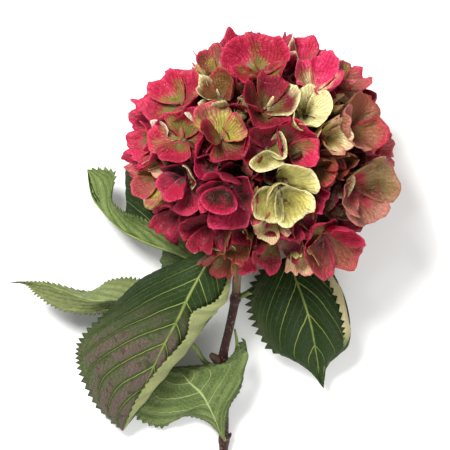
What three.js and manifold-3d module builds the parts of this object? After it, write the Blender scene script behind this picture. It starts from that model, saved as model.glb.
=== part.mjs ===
// A cut mophead hydrangea lying on a flat surface: woody stem, five leaves and a head of florets.
// Millimetres. +Y runs from the cut stem end to the top of the head, +Z is up from the surface.
import * as THREE from "three";
import Module from "manifold-3d";

const wasm = await Module();
wasm.setup();

const vec = (x, y, z) => new THREE.Vector3(x, y, z);
const vecs = (rows) => rows.map((row) => vec(...row));
const radians = THREE.MathUtils.degToRad;

// Sizes that drive the whole part
const bladeThickness = 0.66;
const leafThickness = 0.74;
const seatGap = 0.3;
const surfaceLift = 0.3;
const smallestFeature = 0.2;

// Colours
const crimson = 0xb32a45;
const leafGreen = 0x35502c;
const leafUnderside = 0x8b9a78;
const leafDark = 0x22391f;
const barkPurple = 0x5b4038;

// A repeatable draw from 0 to 1 for a count and a purpose
function draw(count, purpose) {
  const wave = Math.sin(count * 12.9898 + purpose * 78.233) * 43758.5453;
  return wave - Math.floor(wave);
}

// Closed bodies from points and triangles

function solidFrom(points, triangles) {
  const vertProperties = new Float32Array(points.flatMap((p) => [p.x, p.y, p.z]));
  const triVerts = new Uint32Array(triangles.flat());
  const mesh = new wasm.Mesh({ numProp: 3, vertProperties, triVerts });
  mesh.merge();
  return new wasm.Manifold(mesh);
}

function sheetNormals(points, triangles) {
  const normals = points.map(() => vec(0, 0, 0));
  const edgeOne = vec(0, 0, 0);
  const edgeTwo = vec(0, 0, 0);
  for (const [a, b, c] of triangles) {
    edgeOne.subVectors(points[b], points[a]);
    edgeTwo.subVectors(points[c], points[a]);
    edgeOne.cross(edgeTwo);
    for (const corner of [a, b, c]) normals[corner].add(edgeOne);
  }
  return normals.map((normal) => normal.normalize());
}

// A thin blade: the sheet's triangles on both faces, and a wall along its free edges
function bladeFaces(points, triangles, thickness) {
  const normals = sheetNormals(points, triangles);
  const count = points.length;
  const offset = (side) => points.map((p, i) => p.clone().addScaledVector(normals[i], side * thickness));
  const both = [...offset(0.5), ...offset(-0.5)];
  const faces = [];
  const free = new Map();
  for (const [a, b, c] of triangles) {
    faces.push([a, b, c], [a + count, c + count, b + count]);
    for (const [from, to] of [[a, b], [b, c], [c, a]]) {
      if (!free.delete(to + " " + from)) free.set(from + " " + to, [from, to]);
    }
  }
  for (const [from, to] of free.values()) {
    faces.push([from, from + count, to + count], [from, to + count, to]);
  }
  return { both, faces };
}

function bladeFrom(points, triangles, thickness) {
  const { both, faces } = bladeFaces(points, triangles, thickness);
  return solidFrom(both, faces);
}

// A rod of changing radius along a path, closed at both ends
function rod(path, radii, sides) {
  const rings = [];
  let across = null;
  for (let i = 0; i < path.length; i++) {
    const along = path[Math.min(i + 1, path.length - 1)].clone().sub(path[Math.max(i - 1, 0)]).normalize();
    if (!across) across = Math.abs(along.z) < 0.8 ? vec(0, 0, 1) : vec(1, 0, 0);
    const side = along.clone().cross(across).normalize();
    across = side.clone().cross(along).normalize();
    for (let k = 0; k < sides; k++) {
      const angle = (2 * Math.PI * k) / sides;
      const reach = side.clone().multiplyScalar(Math.cos(angle)).addScaledVector(across, Math.sin(angle));
      rings.push(path[i].clone().addScaledVector(reach, radii[i]));
    }
  }
  const last = (path.length - 1) * sides;
  const faces = [];
  for (let i = 0; i < path.length - 1; i++) {
    for (let k = 0; k < sides; k++) {
      const next = (k + 1) % sides;
      const low = i * sides;
      const high = low + sides;
      faces.push([low + k, low + next, high + next], [low + k, high + next, high + k]);
    }
  }
  for (let k = 1; k < sides - 1; k++) {
    faces.push([0, k + 1, k], [last, last + k, last + k + 1]);
  }
  const made = solidFrom(rings, faces);
  if (made.volume() > 0) return made;
  return solidFrom(rings, faces.map(([a, b, c]) => [a, c, b]));
}

// A point on the smooth curve through evenly spaced stations, at a share of its length
function curvePoint(stations, share) {
  const place = Math.min(Math.max(share, 0), 1) * (stations.length - 1);
  const low = Math.min(Math.floor(place), stations.length - 2);
  const t = place - low;
  const at = (i) => stations[Math.min(Math.max(i, 0), stations.length - 1)];
  const [a, b, c, d] = [at(low - 1), at(low), at(low + 1), at(low + 2)];
  const mix = (p, q, r, s) =>
    0.5 * (2 * q + (r - p) * t + (2 * p - 5 * q + 4 * r - s) * t * t + (3 * q - p - 3 * r + s) * t * t * t);
  return vec(mix(a.x, b.x, c.x, d.x), mix(a.y, b.y, c.y, d.y), mix(a.z, b.z, c.z, d.z));
}

// The stem

const stemRadius = 2.6;
const stemStations = vecs([
  [-5, -30, 61],
  [-9, -50, 56],
  [-13, -76, 47],
  [-14, -89, 41],
  [-18, -109, 32],
  [-22, -130, 23],
  [-21, -157, 14],
  [-21, -180, 7],
  [-22, -200, 3.6],
  [-24, -219, 2.95],
]);
const stemSides = 8;
const stemSteps = 36;
const shootSides = 6;
const shootTip = 0.45;
const cutSlant = vec(0.25, 1, 0.35).normalize();
const cutInset = 3;

// Where leaves join the stem: share of its length, swelling, reach along it
const stemNodes = [
  { share: 3 / 9, swell: 0.9, reach: 0.016 },
  { share: 5 / 9, swell: 1.3, reach: 0.02 },
  { share: 7 / 9, swell: 1.0, reach: 0.02 },
];

function stemThickness(share, extra) {
  let radius = stemRadius + extra;
  for (const node of stemNodes) {
    radius += node.swell * Math.exp(-(((share - node.share) / node.reach) ** 2));
  }
  return radius;
}

// Where the stem starts inside the head, as a share of its length
const stemStart = 0.003;

// Buds and stubs at the nodes: share of the stem, places as steps away from it, radius
const stemShoots = [
  { share: 3 / 9, away: [[2.6, 1.2, 1.8], [3.4, 3, 2.4]], width: 1.1 },
  { share: 5 / 9, away: [[-2.5, 1.5, 1], [-5, 3.4, 2.6], [-7.4, 5.6, 3.8]], width: 3.1 },
  { share: 5 / 9, away: [[5.5, 3, 1.5], [8.6, 7.6, 3.2], [9, 14, 5.4], [7.6, 21.5, 8.2]], width: 1.25 },
  { share: 7 / 9, away: [[3, 1.6, 0.4], [4.4, 4.4, 0.8]], width: 1.2 },
];

// A rod that grows out of the stem at one of its nodes
function stemShoot({ share, away, width }, extra) {
  const root = curvePoint(stemStations, share);
  const path = [root, ...vecs(away).map((step) => step.add(root))];
  const radii = path.map((point, i) => extra + width * (i < path.length - 1 ? 1 : shootTip));
  return rod(path, radii, shootSides);
}

// The stem with its buds and the stub of a lost leaf stalk, made wider all round by an extra
function stemSolid(extra) {
  const topShare = extra > 0 ? 0 : stemStart;
  const shareAt = (unused, i) => topShare + ((1 - topShare) * i) / stemSteps;
  const shares = Array.from({ length: stemSteps + 1 }, shareAt);
  const path = shares.map((share) => curvePoint(stemStations, share));
  const radii = shares.map((share) => stemThickness(share, extra));
  const shoots = stemShoots.map((shoot) => stemShoot(shoot, extra));
  return wasm.Manifold.union([rod(path, radii, stemSides), ...shoots]);
}

function makeStem() {
  const end = stemStations[stemStations.length - 1];
  return stemSolid(0)
    .trimByPlane(cutSlant.toArray(), cutSlant.dot(end) + cutInset)
    .trimByPlane([0, 0, 1], 0);
}

// Leaves: rails run from the leaf base to the tip, listed from one margin to the other

const leafRows = 13;
const toothInset = 0.2;
const teethPerRow = 4;
const toothReach = 1.5;
const notchReach = 0.7;
const toothLean = 0.35;
const midribRail = 1;

// The spans across which a leaf domes and its folded margin rolls fully, and the width across which its
// teeth reach their full size
const fullDomeSpan = 20;
const fullRollSpan = 10;
const fullToothSpan = 3;

const leaves = [
  {
    name: "leaf_front_left",
    colour: leafGreen,
    upperSide: 1,
    dome: 3.2,
    roll: 3.2,
    stalkFrom: 0.2,
    stalk: [[-20, -61, 60]],
    columns: [2, 2, 2],
    rails: [
      [[-26, -57, 60], [-48, -66, 56], [-72, -77, 48], [-93, -97, 40], [-110, -116, 32], [-111, -133, 26],
        [-101, -157, 17], [-85, -174, 10]],
      [[-26, -56, 62], [-31, -66, 64], [-41, -84, 66], [-49, -101, 62], [-58, -118, 53], [-67, -137, 41],
        [-76, -155, 27], [-85, -174, 10]],
      [[-26, -57, 61], [-18, -72, 56], [-20, -88, 54], [-30, -102, 52], [-42, -117, 46], [-56, -135, 36],
        [-71, -154, 24], [-85, -174, 10]],
      [[-26, -56, 62], [-19, -73, 59], [-25, -89, 63], [-40, -97, 67], [-44, -112, 62], [-61, -132, 47],
        [-75, -152, 31], [-85, -174, 10]],
    ],
  },
  {
    name: "leaf_upper_left",
    colour: leafUnderside,
    upperSide: -1,
    dome: 2,
    stalkFrom: 0.2,
    stalk: [[-24, -70, 45]],
    columns: [2, 3],
    rails: [
      [[-36, -67, 44], [-47, -52, 46], [-60, -45, 43], [-74, -39, 40], [-83, -36, 37], [-91, -28, 32],
        [-90, -11, 27], [-107, -9, 19]],
      [[-36, -67, 44], [-51, -61, 40], [-66, -56, 34], [-77, -51, 30], [-86, -46, 27], [-95, -37, 23],
        [-104, -26, 20], [-107, -9, 19]],
      [[-36, -67, 42], [-60, -68, 28], [-50, -27, 14], [-82, -9, 12], [-77, -28, 16], [-85, -37, 20],
        [-101, -22, 18], [-107, -9, 19]],
    ],
  },
  {
    name: "leaf_far_left",
    colour: leafUnderside,
    upperSide: -1,
    dome: 1.5,
    stalkFrom: 5 / 9,
    stalk: [[-29, -131.5, 23], [-34, -128, 25], [-41, -118, 28]],
    columns: [2, 2],
    rails: [
      [[-58, -104, 31], [-64, -85, 22], [-77, -78, 12], [-93, -79, 8], [-107, -86, 8], [-128, -81, 16],
        [-143, -79, 26], [-156, -80, 22]],
      [[-58, -104, 31], [-73, -95, 34], [-87, -91, 36], [-103, -91, 36], [-119, -86, 34], [-133, -81, 31],
        [-144, -80, 27], [-156, -80, 22]],
      [[-58, -104, 31], [-74, -101, 28], [-91, -98, 27], [-106, -99, 26], [-124, -96, 24], [-137, -88, 25],
        [-145, -81, 26], [-156, -80, 22]],
    ],
  },
  {
    name: "leaf_low",
    colour: leafUnderside,
    upperSide: -1,
    dome: 2,
    roll: 0,
    stalkFrom: 7 / 9,
    stalk: [],
    columns: [2, 2, 1],
    rails: [
      [[-21, -180, 12], [-31, -169, 8], [-46, -165, 6], [-62, -172, 4], [-78, -163, 3], [-68, -145, 8],
        [-58, -134, 14]],
      [[-21, -180, 12], [-26, -167, 16], [-31, -156, 21], [-36, -148, 24], [-42, -142, 27], [-47, -137, 25],
        [-58, -134, 14]],
      [[-21, -180, 12], [-19, -159, 22], [-12, -144, 28], [-6, -124, 33], [-20, -130, 33], [-36, -132, 29],
        [-58, -134, 14]],
      [[-21, -180, 12], [-18, -159, 21], [-10, -143, 26], [-8, -116, 26], [-20, -129, 32], [-35, -131, 28],
        [-58, -134, 14]],
    ],
  },
  {
    name: "leaf_right",
    colour: leafDark,
    upperSide: 1,
    dome: 3,
    roll: 1.5,
    stalkFrom: 3 / 9,
    stalk: [[-4, -84, 34]],
    columns: [2, 2, 1],
    rails: [
      [[18, -64, 26], [2, -73, 36], [-5, -88, 36], [-2, -104, 30], [8, -121, 20], [24, -129, 18],
        [36, -138, 14], [42, -147, 9]],
      [[18, -64, 26], [22, -74, 34], [28, -90, 38], [33, -106, 34], [36, -121, 27], [38, -131, 20],
        [39, -139, 15], [42, -147, 9]],
      [[18, -64, 26], [40, -68, 30], [51, -82, 34], [57, -103, 32], [56, -119, 24], [45, -130, 17],
        [42, -139, 13], [42, -147, 9]],
      [[18, -64, 27], [37, -70, 34], [47, -85, 38], [53, -104, 36], [53, -117, 28], [43, -130, 20],
        [41, -139, 15], [42, -147, 9]],
    ],
  },
];

// Where a leaf's sheet lies: share runs from base to tip, place counts rails from the first margin
function leafPoint(leaf, share, place) {
  const low = Math.min(Math.floor(place), leaf.rails.length - 2);
  const t = place - low;
  const from = curvePoint(vecs(leaf.rails[low]), share);
  const to = curvePoint(vecs(leaf.rails[low + 1]), share);
  const ahead = curvePoint(vecs(leaf.rails[low]), share + 0.02);
  const behind = curvePoint(vecs(leaf.rails[low]), share - 0.02);
  const lift = ahead.sub(behind).cross(to.clone().sub(from)).normalize();
  const folded = low > midribRail;
  const room = Math.min(1, from.distanceTo(to) / (folded ? fullRollSpan : fullDomeSpan));
  const bulge = (folded ? -leaf.roll : leaf.dome) * leaf.upperSide;
  const point = from.lerp(to, t).addScaledVector(lift, bulge * room * Math.sin(Math.PI * t));
  point.z = Math.max(point.z, surfaceLift + leafThickness / 2);
  return point;
}

// The free rim of a leaf, with teeth that point to its tip
function toothPoint(leaf, step, steps, first) {
  const rim = first ? 0 : leaf.rails.length - 1;
  const inside = first ? toothInset : leaf.rails.length - 1 - toothInset;
  const isTooth = step % 2 === 1;
  const share = (step + (isTooth ? toothLean : 0)) / steps;
  const edge = leafPoint(leaf, share, rim);
  const inner = leafPoint(leaf, share, inside);
  const outward = edge.clone().sub(inner);
  const room = Math.min(1, outward.length() / fullToothSpan);
  outward.normalize();
  return edge.addScaledVector(outward, room * (isTooth ? toothReach : -notchReach));
}

// The sheet of a leaf: inner rows of columns, and a toothed strip along each margin
function leafSheet(leaf) {
  const points = [];
  const triangles = [];
  const add = (point) => points.push(point) - 1;
  const places = [];
  leaf.columns.forEach((count, rail) => {
    for (let k = 0; k < count; k++) places.push(rail + k / count);
  });
  places.shift();
  const base = add(leafPoint(leaf, 0, midribRail));
  const tip = add(leafPoint(leaf, 1, midribRail));
  const inner = [];
  for (let row = 1; row < leafRows; row++) {
    inner.push(places.map((place) => add(leafPoint(leaf, row / leafRows, place))));
  }
  for (let row = 0; row < inner.length - 1; row++) {
    for (let k = 0; k < places.length - 1; k++) {
      const [a, b, c, d] = [inner[row][k], inner[row][k + 1], inner[row + 1][k + 1], inner[row + 1][k]];
      triangles.push([a, b, c], [a, c, d]);
    }
  }
  const lastRow = inner[inner.length - 1];
  for (let k = 0; k < places.length - 1; k++) {
    triangles.push([base, inner[0][k + 1], inner[0][k]]);
    triangles.push([tip, lastRow[k], lastRow[k + 1]]);
  }
  const steps = leafRows * teethPerRow;
  for (const first of [true, false]) {
    const column = [base, ...inner.map((row) => (first ? row[0] : row[places.length - 1])), tip];
    let rim = base;
    for (let row = 0; row < leafRows; row++) {
      for (let k = 1; k <= teethPerRow; k++) {
        const step = row * teethPerRow + k;
        const next = step >= steps - 1 ? tip : add(toothPoint(leaf, step, steps, first));
        const from = column[k <= teethPerRow / 2 ? row : row + 1];
        if (next !== rim && from !== rim && from !== next) {
          triangles.push(first ? [rim, from, next] : [rim, next, from]);
        }
        if (k === teethPerRow / 2 && next !== tip) {
          triangles.push(first ? [next, column[row], column[row + 1]] : [next, column[row + 1], column[row]]);
        }
        rim = next;
      }
    }
  }
  const kept = triangles.filter(([a, b, c]) => a !== b && b !== c && a !== c);
  return { points, triangles: kept };
}

// The leaf stalk and the raised midrib that runs on from it under the blade
function leafRib(leaf, extra) {
  const ribShares = [0.02, 0.14, 0.28, 0.42, 0.56, 0.7, 0.82];
  const ribDrop = 0.55;
  const stalkRadius = 1.7;
  const ribRadius = 1.5;
  const ribTaper = 0.95;
  const ribSides = 6;
  const path = [curvePoint(stemStations, leaf.stalkFrom), ...vecs(leaf.stalk)];
  const stalkCount = path.length;
  for (const share of ribShares) {
    const point = leafPoint(leaf, share, midribRail);
    const beside = leafPoint(leaf, share, midribRail - 0.1).sub(point);
    const ahead = leafPoint(leaf, share + 0.03, midribRail).sub(point);
    const upper = ahead.cross(beside).normalize().multiplyScalar(-leaf.upperSide);
    path.push(point.addScaledVector(upper, -ribDrop));
  }
  const radii = path.map((point, i) =>
    extra + (i < stalkCount ? stalkRadius : ribRadius - (ribTaper * (i - stalkCount)) / ribShares.length));
  return rod(path, radii, ribSides);
}

// A leaf's blade, rib and stalk, made thicker all round by an extra
function leafSolid(leaf, extra) {
  const sheet = leafSheet(leaf);
  return bladeFrom(sheet.points, sheet.triangles, leafThickness + 2 * extra).add(leafRib(leaf, extra));
}

function makeLeaf(leaf, stemRoom) {
  const whole = leafSolid(leaf, 0).subtract(stemRoom);
  return largestOf(whole.trimByPlane([0, 0, 1], 0));
}

function largestOf(solid) {
  const bodies = solid.decompose();
  return bodies.reduce((best, body) => (body.volume() > best.volume() ? body : best));
}

// The head

const headCentre = vec(0, 0, 62.5);
const headHalf = { across: 70, along: 63, deep: 63.5 };
const coreShare = 0.56;
const eyeRadius = 1.4;
const sepalRim = [-122, -76, -28, 28, 76, 122];

// How petals keep out of each other's way
const petalRoom = 0.45;
const bendLift = 0.4;
const levelLean = 1.4;
const siblingLean = 0.7;
const reachOfPlanes = 60;

// Lobes and notches of the head's outline: where, how much it stands out, how wide
const outlineLobes = [
  { at: -8, out: 0.05, wide: 18 },
  { at: 124, out: -0.28, wide: 14 },
  { at: 150, out: -0.1, wide: 14 },
  { at: 175, out: 0.04, wide: 14 },
  { at: 232, out: -0.09, wide: 18 },
  { at: 306, out: 0.05, wide: 12 },
];

function headReach(direction) {
  const { across, along, deep } = headHalf;
  const even = 1 / Math.hypot(direction.x / across, direction.y / along, direction.z / deep);
  const heading = THREE.MathUtils.radToDeg(Math.atan2(direction.y, direction.x));
  const flat = Math.hypot(direction.x, direction.y);
  let share = 1;
  for (const lobe of outlineLobes) {
    const turn = ((heading - lobe.at + 540) % 360) - 180;
    share += lobe.out * flat * Math.exp(-((turn / lobe.wide) ** 2));
  }
  return even * share;
}

// Florets seen from the front: x, y, span, turn of the first sepal in degrees, sink below the outline,
// and for some how much they turn up to the viewer
const frontFlorets = [
  [-1, 46, 46, 50, 0],
  [-27, 51, 32, 150, 3],
  [-13, 60, 36, 110, 2],
  [1, 64, 24, 80, 4],
  [32, 38, 44, 60, 0],
  [29, 57, 36, 100, 3],
  [54, 42, 34, 40, 3],
  [-49, 30, 42, 120, 0],
  [-36, 40, 24, 70, 6],
  [-67, 27, 32, 150, 3],
  [-65, 6, 40, 190, 1],
  [-46, 7, 40, 250, 0],
  [-24, 33, 34, 165, 2],
  [-11, 26, 26, 60, 6],
  [4, 26, 42, 270, 0],
  [-22, 8, 42, 20, 0],
  [-26, -8, 36, 200, 2],
  [27, 22, 38, 200, 1],
  [3, 0, 38, 90, 1],
  [17, 2, 38, 330, 1],
  [42, 8, 34, 85, 2],
  [56, 13, 44, 160, 1, 0.9],
  [68, 6, 32, 20, 5],
  [12, -25, 44, 130, 0],
  [58, -22, 50, 200, 0, 1.65],
  [-44, -19, 38, 200, 0],
  [-65, -18, 34, 210, 3],
  [-19, -24, 46, 182, 0],
  [1, -29, 36, 250, 2],
  [6, -44, 30, 265, 3],
  [-54, -40, 36, 235, 4],
  [-32, -46, 40, 260, 1],
  [-13, -54, 36, 280, 3],
  [8, -56, 40, 250, 1],
  [41, -52, 50, 225, 0, 1.05],
  [26, -65, 30, 300, 3],
  [30, -27, 34, 110, 6],
  [50, 27, 28, 60, 4],
  [35, -10, 32, 30, 5],
  [49, -7, 32, 90, 5],
  [-7, -12, 32, 150, 5],
  [-37, -5, 30, 100, 5],
  [-72, -5, 30, 180, 4],
  [-22, -66, 32, 280, 3],
  [-6, -66, 30, 260, 3],
  [17, 52, 30, 100, 5],
  [52, -41, 32, 300, 4],
  [-35, -29, 30, 300, 5],
  [-62, -6, 24, 170, 3],
  [21, -42, 34, 240, 4],
  [-38, 21, 30, 200, 5],
];
const frontFullness = 3;
const rimHeight = 0.07;
const facingSpread = 0.5;

// A sepal's tilt in degrees, and its cup, breadth and ruffle as shares of its length: the least of
// each, and how much a draw adds
const sepalRise = { least: 28, spread: 14, outerDrop: 10 };
const sepalCup = { least: 0.2, spread: 0.12 };
const sepalBreadth = { least: 1.08, spread: 0.16 };
const sepalRuffle = { least: 0.05, spread: 0.05, waves: 3, turn: 6.28 };
const sepalSwing = 14;
const sepalMiddle = 0.53;
const sepalOutline = { half: 0.5, tipFlat: 0.03, sideSwell: 0.06, baseTaper: 0.12 };
const bendPasses = 3;
const rootDepth = 0.1;
const rootShare = 0.6;

// The stem and leaves come out of the head here, so no floret grows there
const opening = { toward: vec(-0.2, -0.9, -0.36).normalize(), halfAngle: 35 };
const fillSpacing = 25.5;
const fillCandidates = 900;
const fillSink = 7;
const fillSpan = { least: 43, spread: 8 };
const restingSpan = 44;
const restingTurn = 45;
const goldenAngle = Math.PI * (3 - Math.sqrt(5));

function floretAt(index, centre, span, turn, sink, facing = 0) {
  const { across, along, deep } = headHalf;
  const from = centre.clone().sub(headCentre);
  const out = vec(from.x / across ** 2, from.y / along ** 2, from.z / deep ** 2).normalize();
  const lean = vec(draw(index, 1) - 0.5, draw(index, 2) - 0.5, draw(index, 3) - 0.5);
  out.addScaledVector(lean, facingSpread).add(vec(0, 0, facing)).normalize();
  return { index, centre, out, span, sink, turn: radians(turn) };
}

function frontFloret([x, y, span, turn, sink, facing], index) {
  const { across, along, deep } = headHalf;
  const height = deep * Math.sqrt(Math.max(rimHeight, 1 - (x / across) ** 2 - (y / along) ** 2));
  const direction = vec(x, y, height).normalize();
  const centre = vec(x, y, height).addScaledVector(direction, -sink).add(headCentre);
  return floretAt(index, centre, span + frontFullness, turn, sink, facing);
}

function fillFlorets(florets) {
  const below = vec(0, 0, -1);
  const resting = headCentre.clone().addScaledVector(below, headCentre.z - surfaceLift);
  florets.push(floretAt(florets.length, resting, restingSpan, restingTurn, 0));
  for (let i = 0; i < fillCandidates; i++) {
    const height = 1 - (2 * i + 1) / fillCandidates;
    const flat = Math.sqrt(1 - height * height);
    const angle = i * goldenAngle;
    const direction = vec(flat * Math.cos(angle), height, flat * Math.sin(angle));
    if (direction.angleTo(opening.toward) < radians(opening.halfAngle)) continue;
    const sink = fillSink * draw(i, 4);
    const centre = headCentre.clone().addScaledVector(direction, headReach(direction) - sink);
    centre.z = Math.max(centre.z, surfaceLift);
    if (florets.some((other) => other.centre.distanceTo(centre) < fillSpacing)) continue;
    const span = fillSpan.least + fillSpan.spread * draw(i, 5);
    florets.push(floretAt(florets.length, centre, span, 360 * draw(i, 6), sink));
  }
  return florets;
}

// A direction in the floret's own plane, counted from the plane's +X side
function floretAxis(floret, angle) {
  const first = vec(1, 0, 0).addScaledVector(floret.out, -floret.out.x);
  if (first.length() < 0.3) first.set(0, 1, 0).addScaledVector(floret.out, -floret.out.y);
  first.normalize();
  const second = floret.out.clone().cross(first);
  return first.multiplyScalar(Math.cos(angle)).addScaledVector(second, Math.sin(angle));
}

// Planes between a floret and its neighbours. The higher floret leans over the lower one.
function neighbourPlanes(floret, florets) {
  const planes = [];
  for (const other of florets) {
    const apart = other.centre.clone().sub(floret.centre);
    if (other === floret || apart.length() > reachOfPlanes) continue;
    const share = floret.span / (floret.span + other.span);
    const point = floret.centre.clone().addScaledVector(apart, share);
    const normal = apart.addScaledVector(floret.out, levelLean * floret.sink);
    normal.addScaledVector(other.out, -levelLean * other.sink).normalize();
    planes.push({ point, normal });
  }
  return planes;
}

// Planes between a sepal and the two beside it. The inner pair lies over the outer pair.
function siblingPlanes(floret, which) {
  const over = which % 2 ? -1 : 1;
  const lean = siblingLean * Math.max(0, 1 + Math.min(0, floret.out.z) * 2);
  return [-1, 1].map((side) => {
    const normal = floretAxis(floret, floret.turn + (which + side) * (Math.PI / 2));
    normal.addScaledVector(floretAxis(floret, floret.turn + which * (Math.PI / 2)), -1).normalize();
    return { point: floret.centre, normal: normal.addScaledVector(floret.out, -over * lean).normalize() };
  });
}

// Moves a point that is past a plane back to its own side and up, as a crowded petal bends
function bendClear(point, planes, out) {
  for (let pass = 0; pass < bendPasses; pass++) {
    for (const plane of planes) {
      const past = point.clone().sub(plane.point).dot(plane.normal) + petalRoom;
      if (past <= 0) continue;
      const upward = out.clone().addScaledVector(plane.normal, -out.dot(plane.normal));
      point.addScaledVector(plane.normal, -past).addScaledVector(upward, bendLift * past);
    }
  }
  return point;
}

// How far a sepal's rim is from its middle: nearly round, swollen at the sides, drawn in at the base
function rimDistance(side, ahead) {
  const { half, tipFlat, sideSwell, baseTaper } = sepalOutline;
  const sides = side * side;
  return half - tipFlat * ahead + sideSwell * sides - baseTaper * sides * Math.max(0, -ahead);
}

// A point of a sepal: ring runs from its middle to its rim, turn goes round from its tip
function sepalPoint(floret, which, ring, turn) {
  const length = floret.span / 2;
  const seed = floret.index * 4 + which;
  const outerPair = which % 2;
  const drawn = (form, purpose) => form.least + form.spread * draw(seed, purpose);
  const rise = radians(drawn(sepalRise, 7) - sepalRise.outerDrop * outerPair);
  const cup = drawn(sepalCup, 8);
  const broad = drawn(sepalBreadth, 9);
  const ruffle = drawn(sepalRuffle, 10);
  const swing = radians(sepalSwing) * (draw(seed, 11) - 0.5);
  const side = Math.sin(turn);
  const ahead = Math.cos(turn);
  const rim = rimDistance(side, ahead);
  const outward = length * (sepalMiddle + ring * rim * ahead);
  const sideways = length * broad * ring * rim * side;
  const phase = sepalRuffle.waves * turn + sepalRuffle.turn * draw(seed, 12);
  const wave = ruffle * ring ** 3 * Math.sin(phase) * (0.5 + 0.5 * ahead);
  const height = length * (cup * (ring * ring - 1) + wave);
  const along = outward * Math.cos(rise) - height * Math.sin(rise);
  const up = outward * Math.sin(rise) + height * Math.cos(rise);
  const forward = floretAxis(floret, floret.turn + which * (Math.PI / 2) + swing);
  const across = floret.out.clone().cross(forward);
  const point = floret.centre.clone();
  point.addScaledVector(forward, along).addScaledVector(across, sideways).addScaledVector(floret.out, up);
  bendClear(point, floret.planes[which], floret.out);
  point.z = Math.max(point.z, surfaceLift);
  return point;
}

// A floret: four sepals round a small square eye, whose underside runs on as the flower stalk
function makeFloret(floret) {
  const points = [];
  const triangles = [[0, 1, 2], [0, 2, 3]];
  for (let k = 0; k < 4; k++) {
    const corner = floretAxis(floret, floret.turn + (k + 0.5) * (Math.PI / 2));
    points.push(floret.centre.clone().addScaledVector(corner, eyeRadius));
  }
  for (let which = 0; which < 4; which++) {
    const middle = points.push(sepalPoint(floret, which, 0, 0)) - 1;
    const rim = sepalRim.map((turn) => points.push(sepalPoint(floret, which, 1, radians(turn))) - 1);
    const round = [(which + 3) % 4, ...rim, which];
    round.forEach((from, i) => triangles.push([middle, from, round[(i + 1) % round.length]]));
  }
  const root = headCentre.clone().lerp(floret.centre, coreShare - rootDepth);
  return stalkedBlade(points, triangles, bladeThickness, root);
}

// A blade whose first two triangles have a stalk under them instead of a lower face
function stalkedBlade(points, triangles, thickness, root) {
  const { both, faces } = bladeFaces(points, triangles, thickness);
  const count = points.length;
  const lower = faces.filter(([a, b, c]) => Math.min(a, b, c) < count || Math.max(a, b, c) > count + 3);
  const eye = points.slice(0, 4);
  const middle = eye.reduce((sum, p) => sum.add(p), vec(0, 0, 0)).multiplyScalar(0.25);
  const roots = eye.map((p) => both.push(p.clone().sub(middle).multiplyScalar(rootShare).add(root)) - 1);
  for (let k = 0; k < 4; k++) {
    const next = (k + 1) % 4;
    lower.push([count + k, roots[k], roots[next]], [count + k, roots[next], count + next]);
  }
  lower.push([roots[0], roots[2], roots[1]], [roots[0], roots[3], roots[2]]);
  return solidFrom(both, lower);
}

function makeCore() {
  const ball = new THREE.IcosahedronGeometry(1, 2);
  const place = ball.getAttribute("position");
  const points = [];
  const triangles = [];
  for (let i = 0; i < place.count; i++) {
    const direction = vec(place.getX(i), place.getY(i), place.getZ(i)).normalize();
    points.push(direction.clone().multiplyScalar(headReach(direction) * coreShare).add(headCentre));
  }
  for (let i = 0; i < place.count; i += 3) triangles.push([i, i + 1, i + 2]);
  return solidFrom(points, triangles);
}

function makeHead(stemRoom, leafRoom) {
  const florets = fillFlorets(frontFlorets.map(frontFloret));
  for (const floret of florets) {
    const around = neighbourPlanes(floret, florets);
    floret.planes = [0, 1, 2, 3].map((which) => [...siblingPlanes(floret, which), ...around]);
  }
  const parts = [makeCore(), ...florets.map(makeFloret)];
  const whole = wasm.Manifold.union(parts).subtract(stemRoom).subtract(leafRoom);
  return largestOf(whole.trimByPlane([0, 0, 1], 0)).simplify(smallestFeature);
}

// Each solid as a named mesh

function meshOf(name, solid, colour, roughness) {
  const made = solid.getMesh();
  const place = new Float32Array(made.numVert * 3);
  for (let i = 0; i < made.numVert; i++) {
    place.set(made.vertProperties.subarray(i * made.numProp, i * made.numProp + 3), i * 3);
  }
  const geometry = new THREE.BufferGeometry();
  geometry.setAttribute("position", new THREE.BufferAttribute(place, 3));
  geometry.setIndex(new THREE.BufferAttribute(made.triVerts, 1));
  geometry.computeVertexNormals();
  const material = new THREE.MeshStandardMaterial({ color: colour, roughness, metalness: 0 });
  material.flatShading = true;
  const mesh = new THREE.Mesh(geometry, material);
  mesh.name = name;
  return mesh;
}

const hydrangea = new THREE.Group();
hydrangea.name = "cut_hydrangea";
hydrangea.add(meshOf("stem", makeStem(), barkPurple, 0.6));
const stemRoom = stemSolid(seatGap);
const leafRoom = wasm.Manifold.union(leaves.map((leaf) => leafSolid(leaf, seatGap)));
for (const leaf of leaves) {
  hydrangea.add(meshOf(leaf.name, makeLeaf(leaf, stemRoom), leaf.colour, 0.55));
}
hydrangea.add(meshOf("flower_head", makeHead(stemRoom, leafRoom), crimson, 0.5));

export default hydrangea;
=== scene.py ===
"""A cut mophead hydrangea that lies on a pale surface: its petals, leaves, stem and studio."""

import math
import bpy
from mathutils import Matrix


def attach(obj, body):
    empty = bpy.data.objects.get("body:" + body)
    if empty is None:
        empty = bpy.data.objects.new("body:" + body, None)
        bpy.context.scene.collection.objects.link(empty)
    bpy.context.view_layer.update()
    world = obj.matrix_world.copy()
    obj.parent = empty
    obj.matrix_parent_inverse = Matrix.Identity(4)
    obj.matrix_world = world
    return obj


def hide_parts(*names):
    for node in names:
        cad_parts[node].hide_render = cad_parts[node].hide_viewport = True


bl_info = {
    "name": "Cut hydrangea",
    "version": (1, 0, 0),
    "blender": (4, 5, 0),
    "location": "3D View > Sidebar > Hydrangea",
    "description": "Makes the petals, leaves and stem of a cut hydrangea, and a studio for them",
    "category": "Object",
}

import bmesh
import bpy
import numpy as np
from mathutils import Vector, noise

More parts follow.
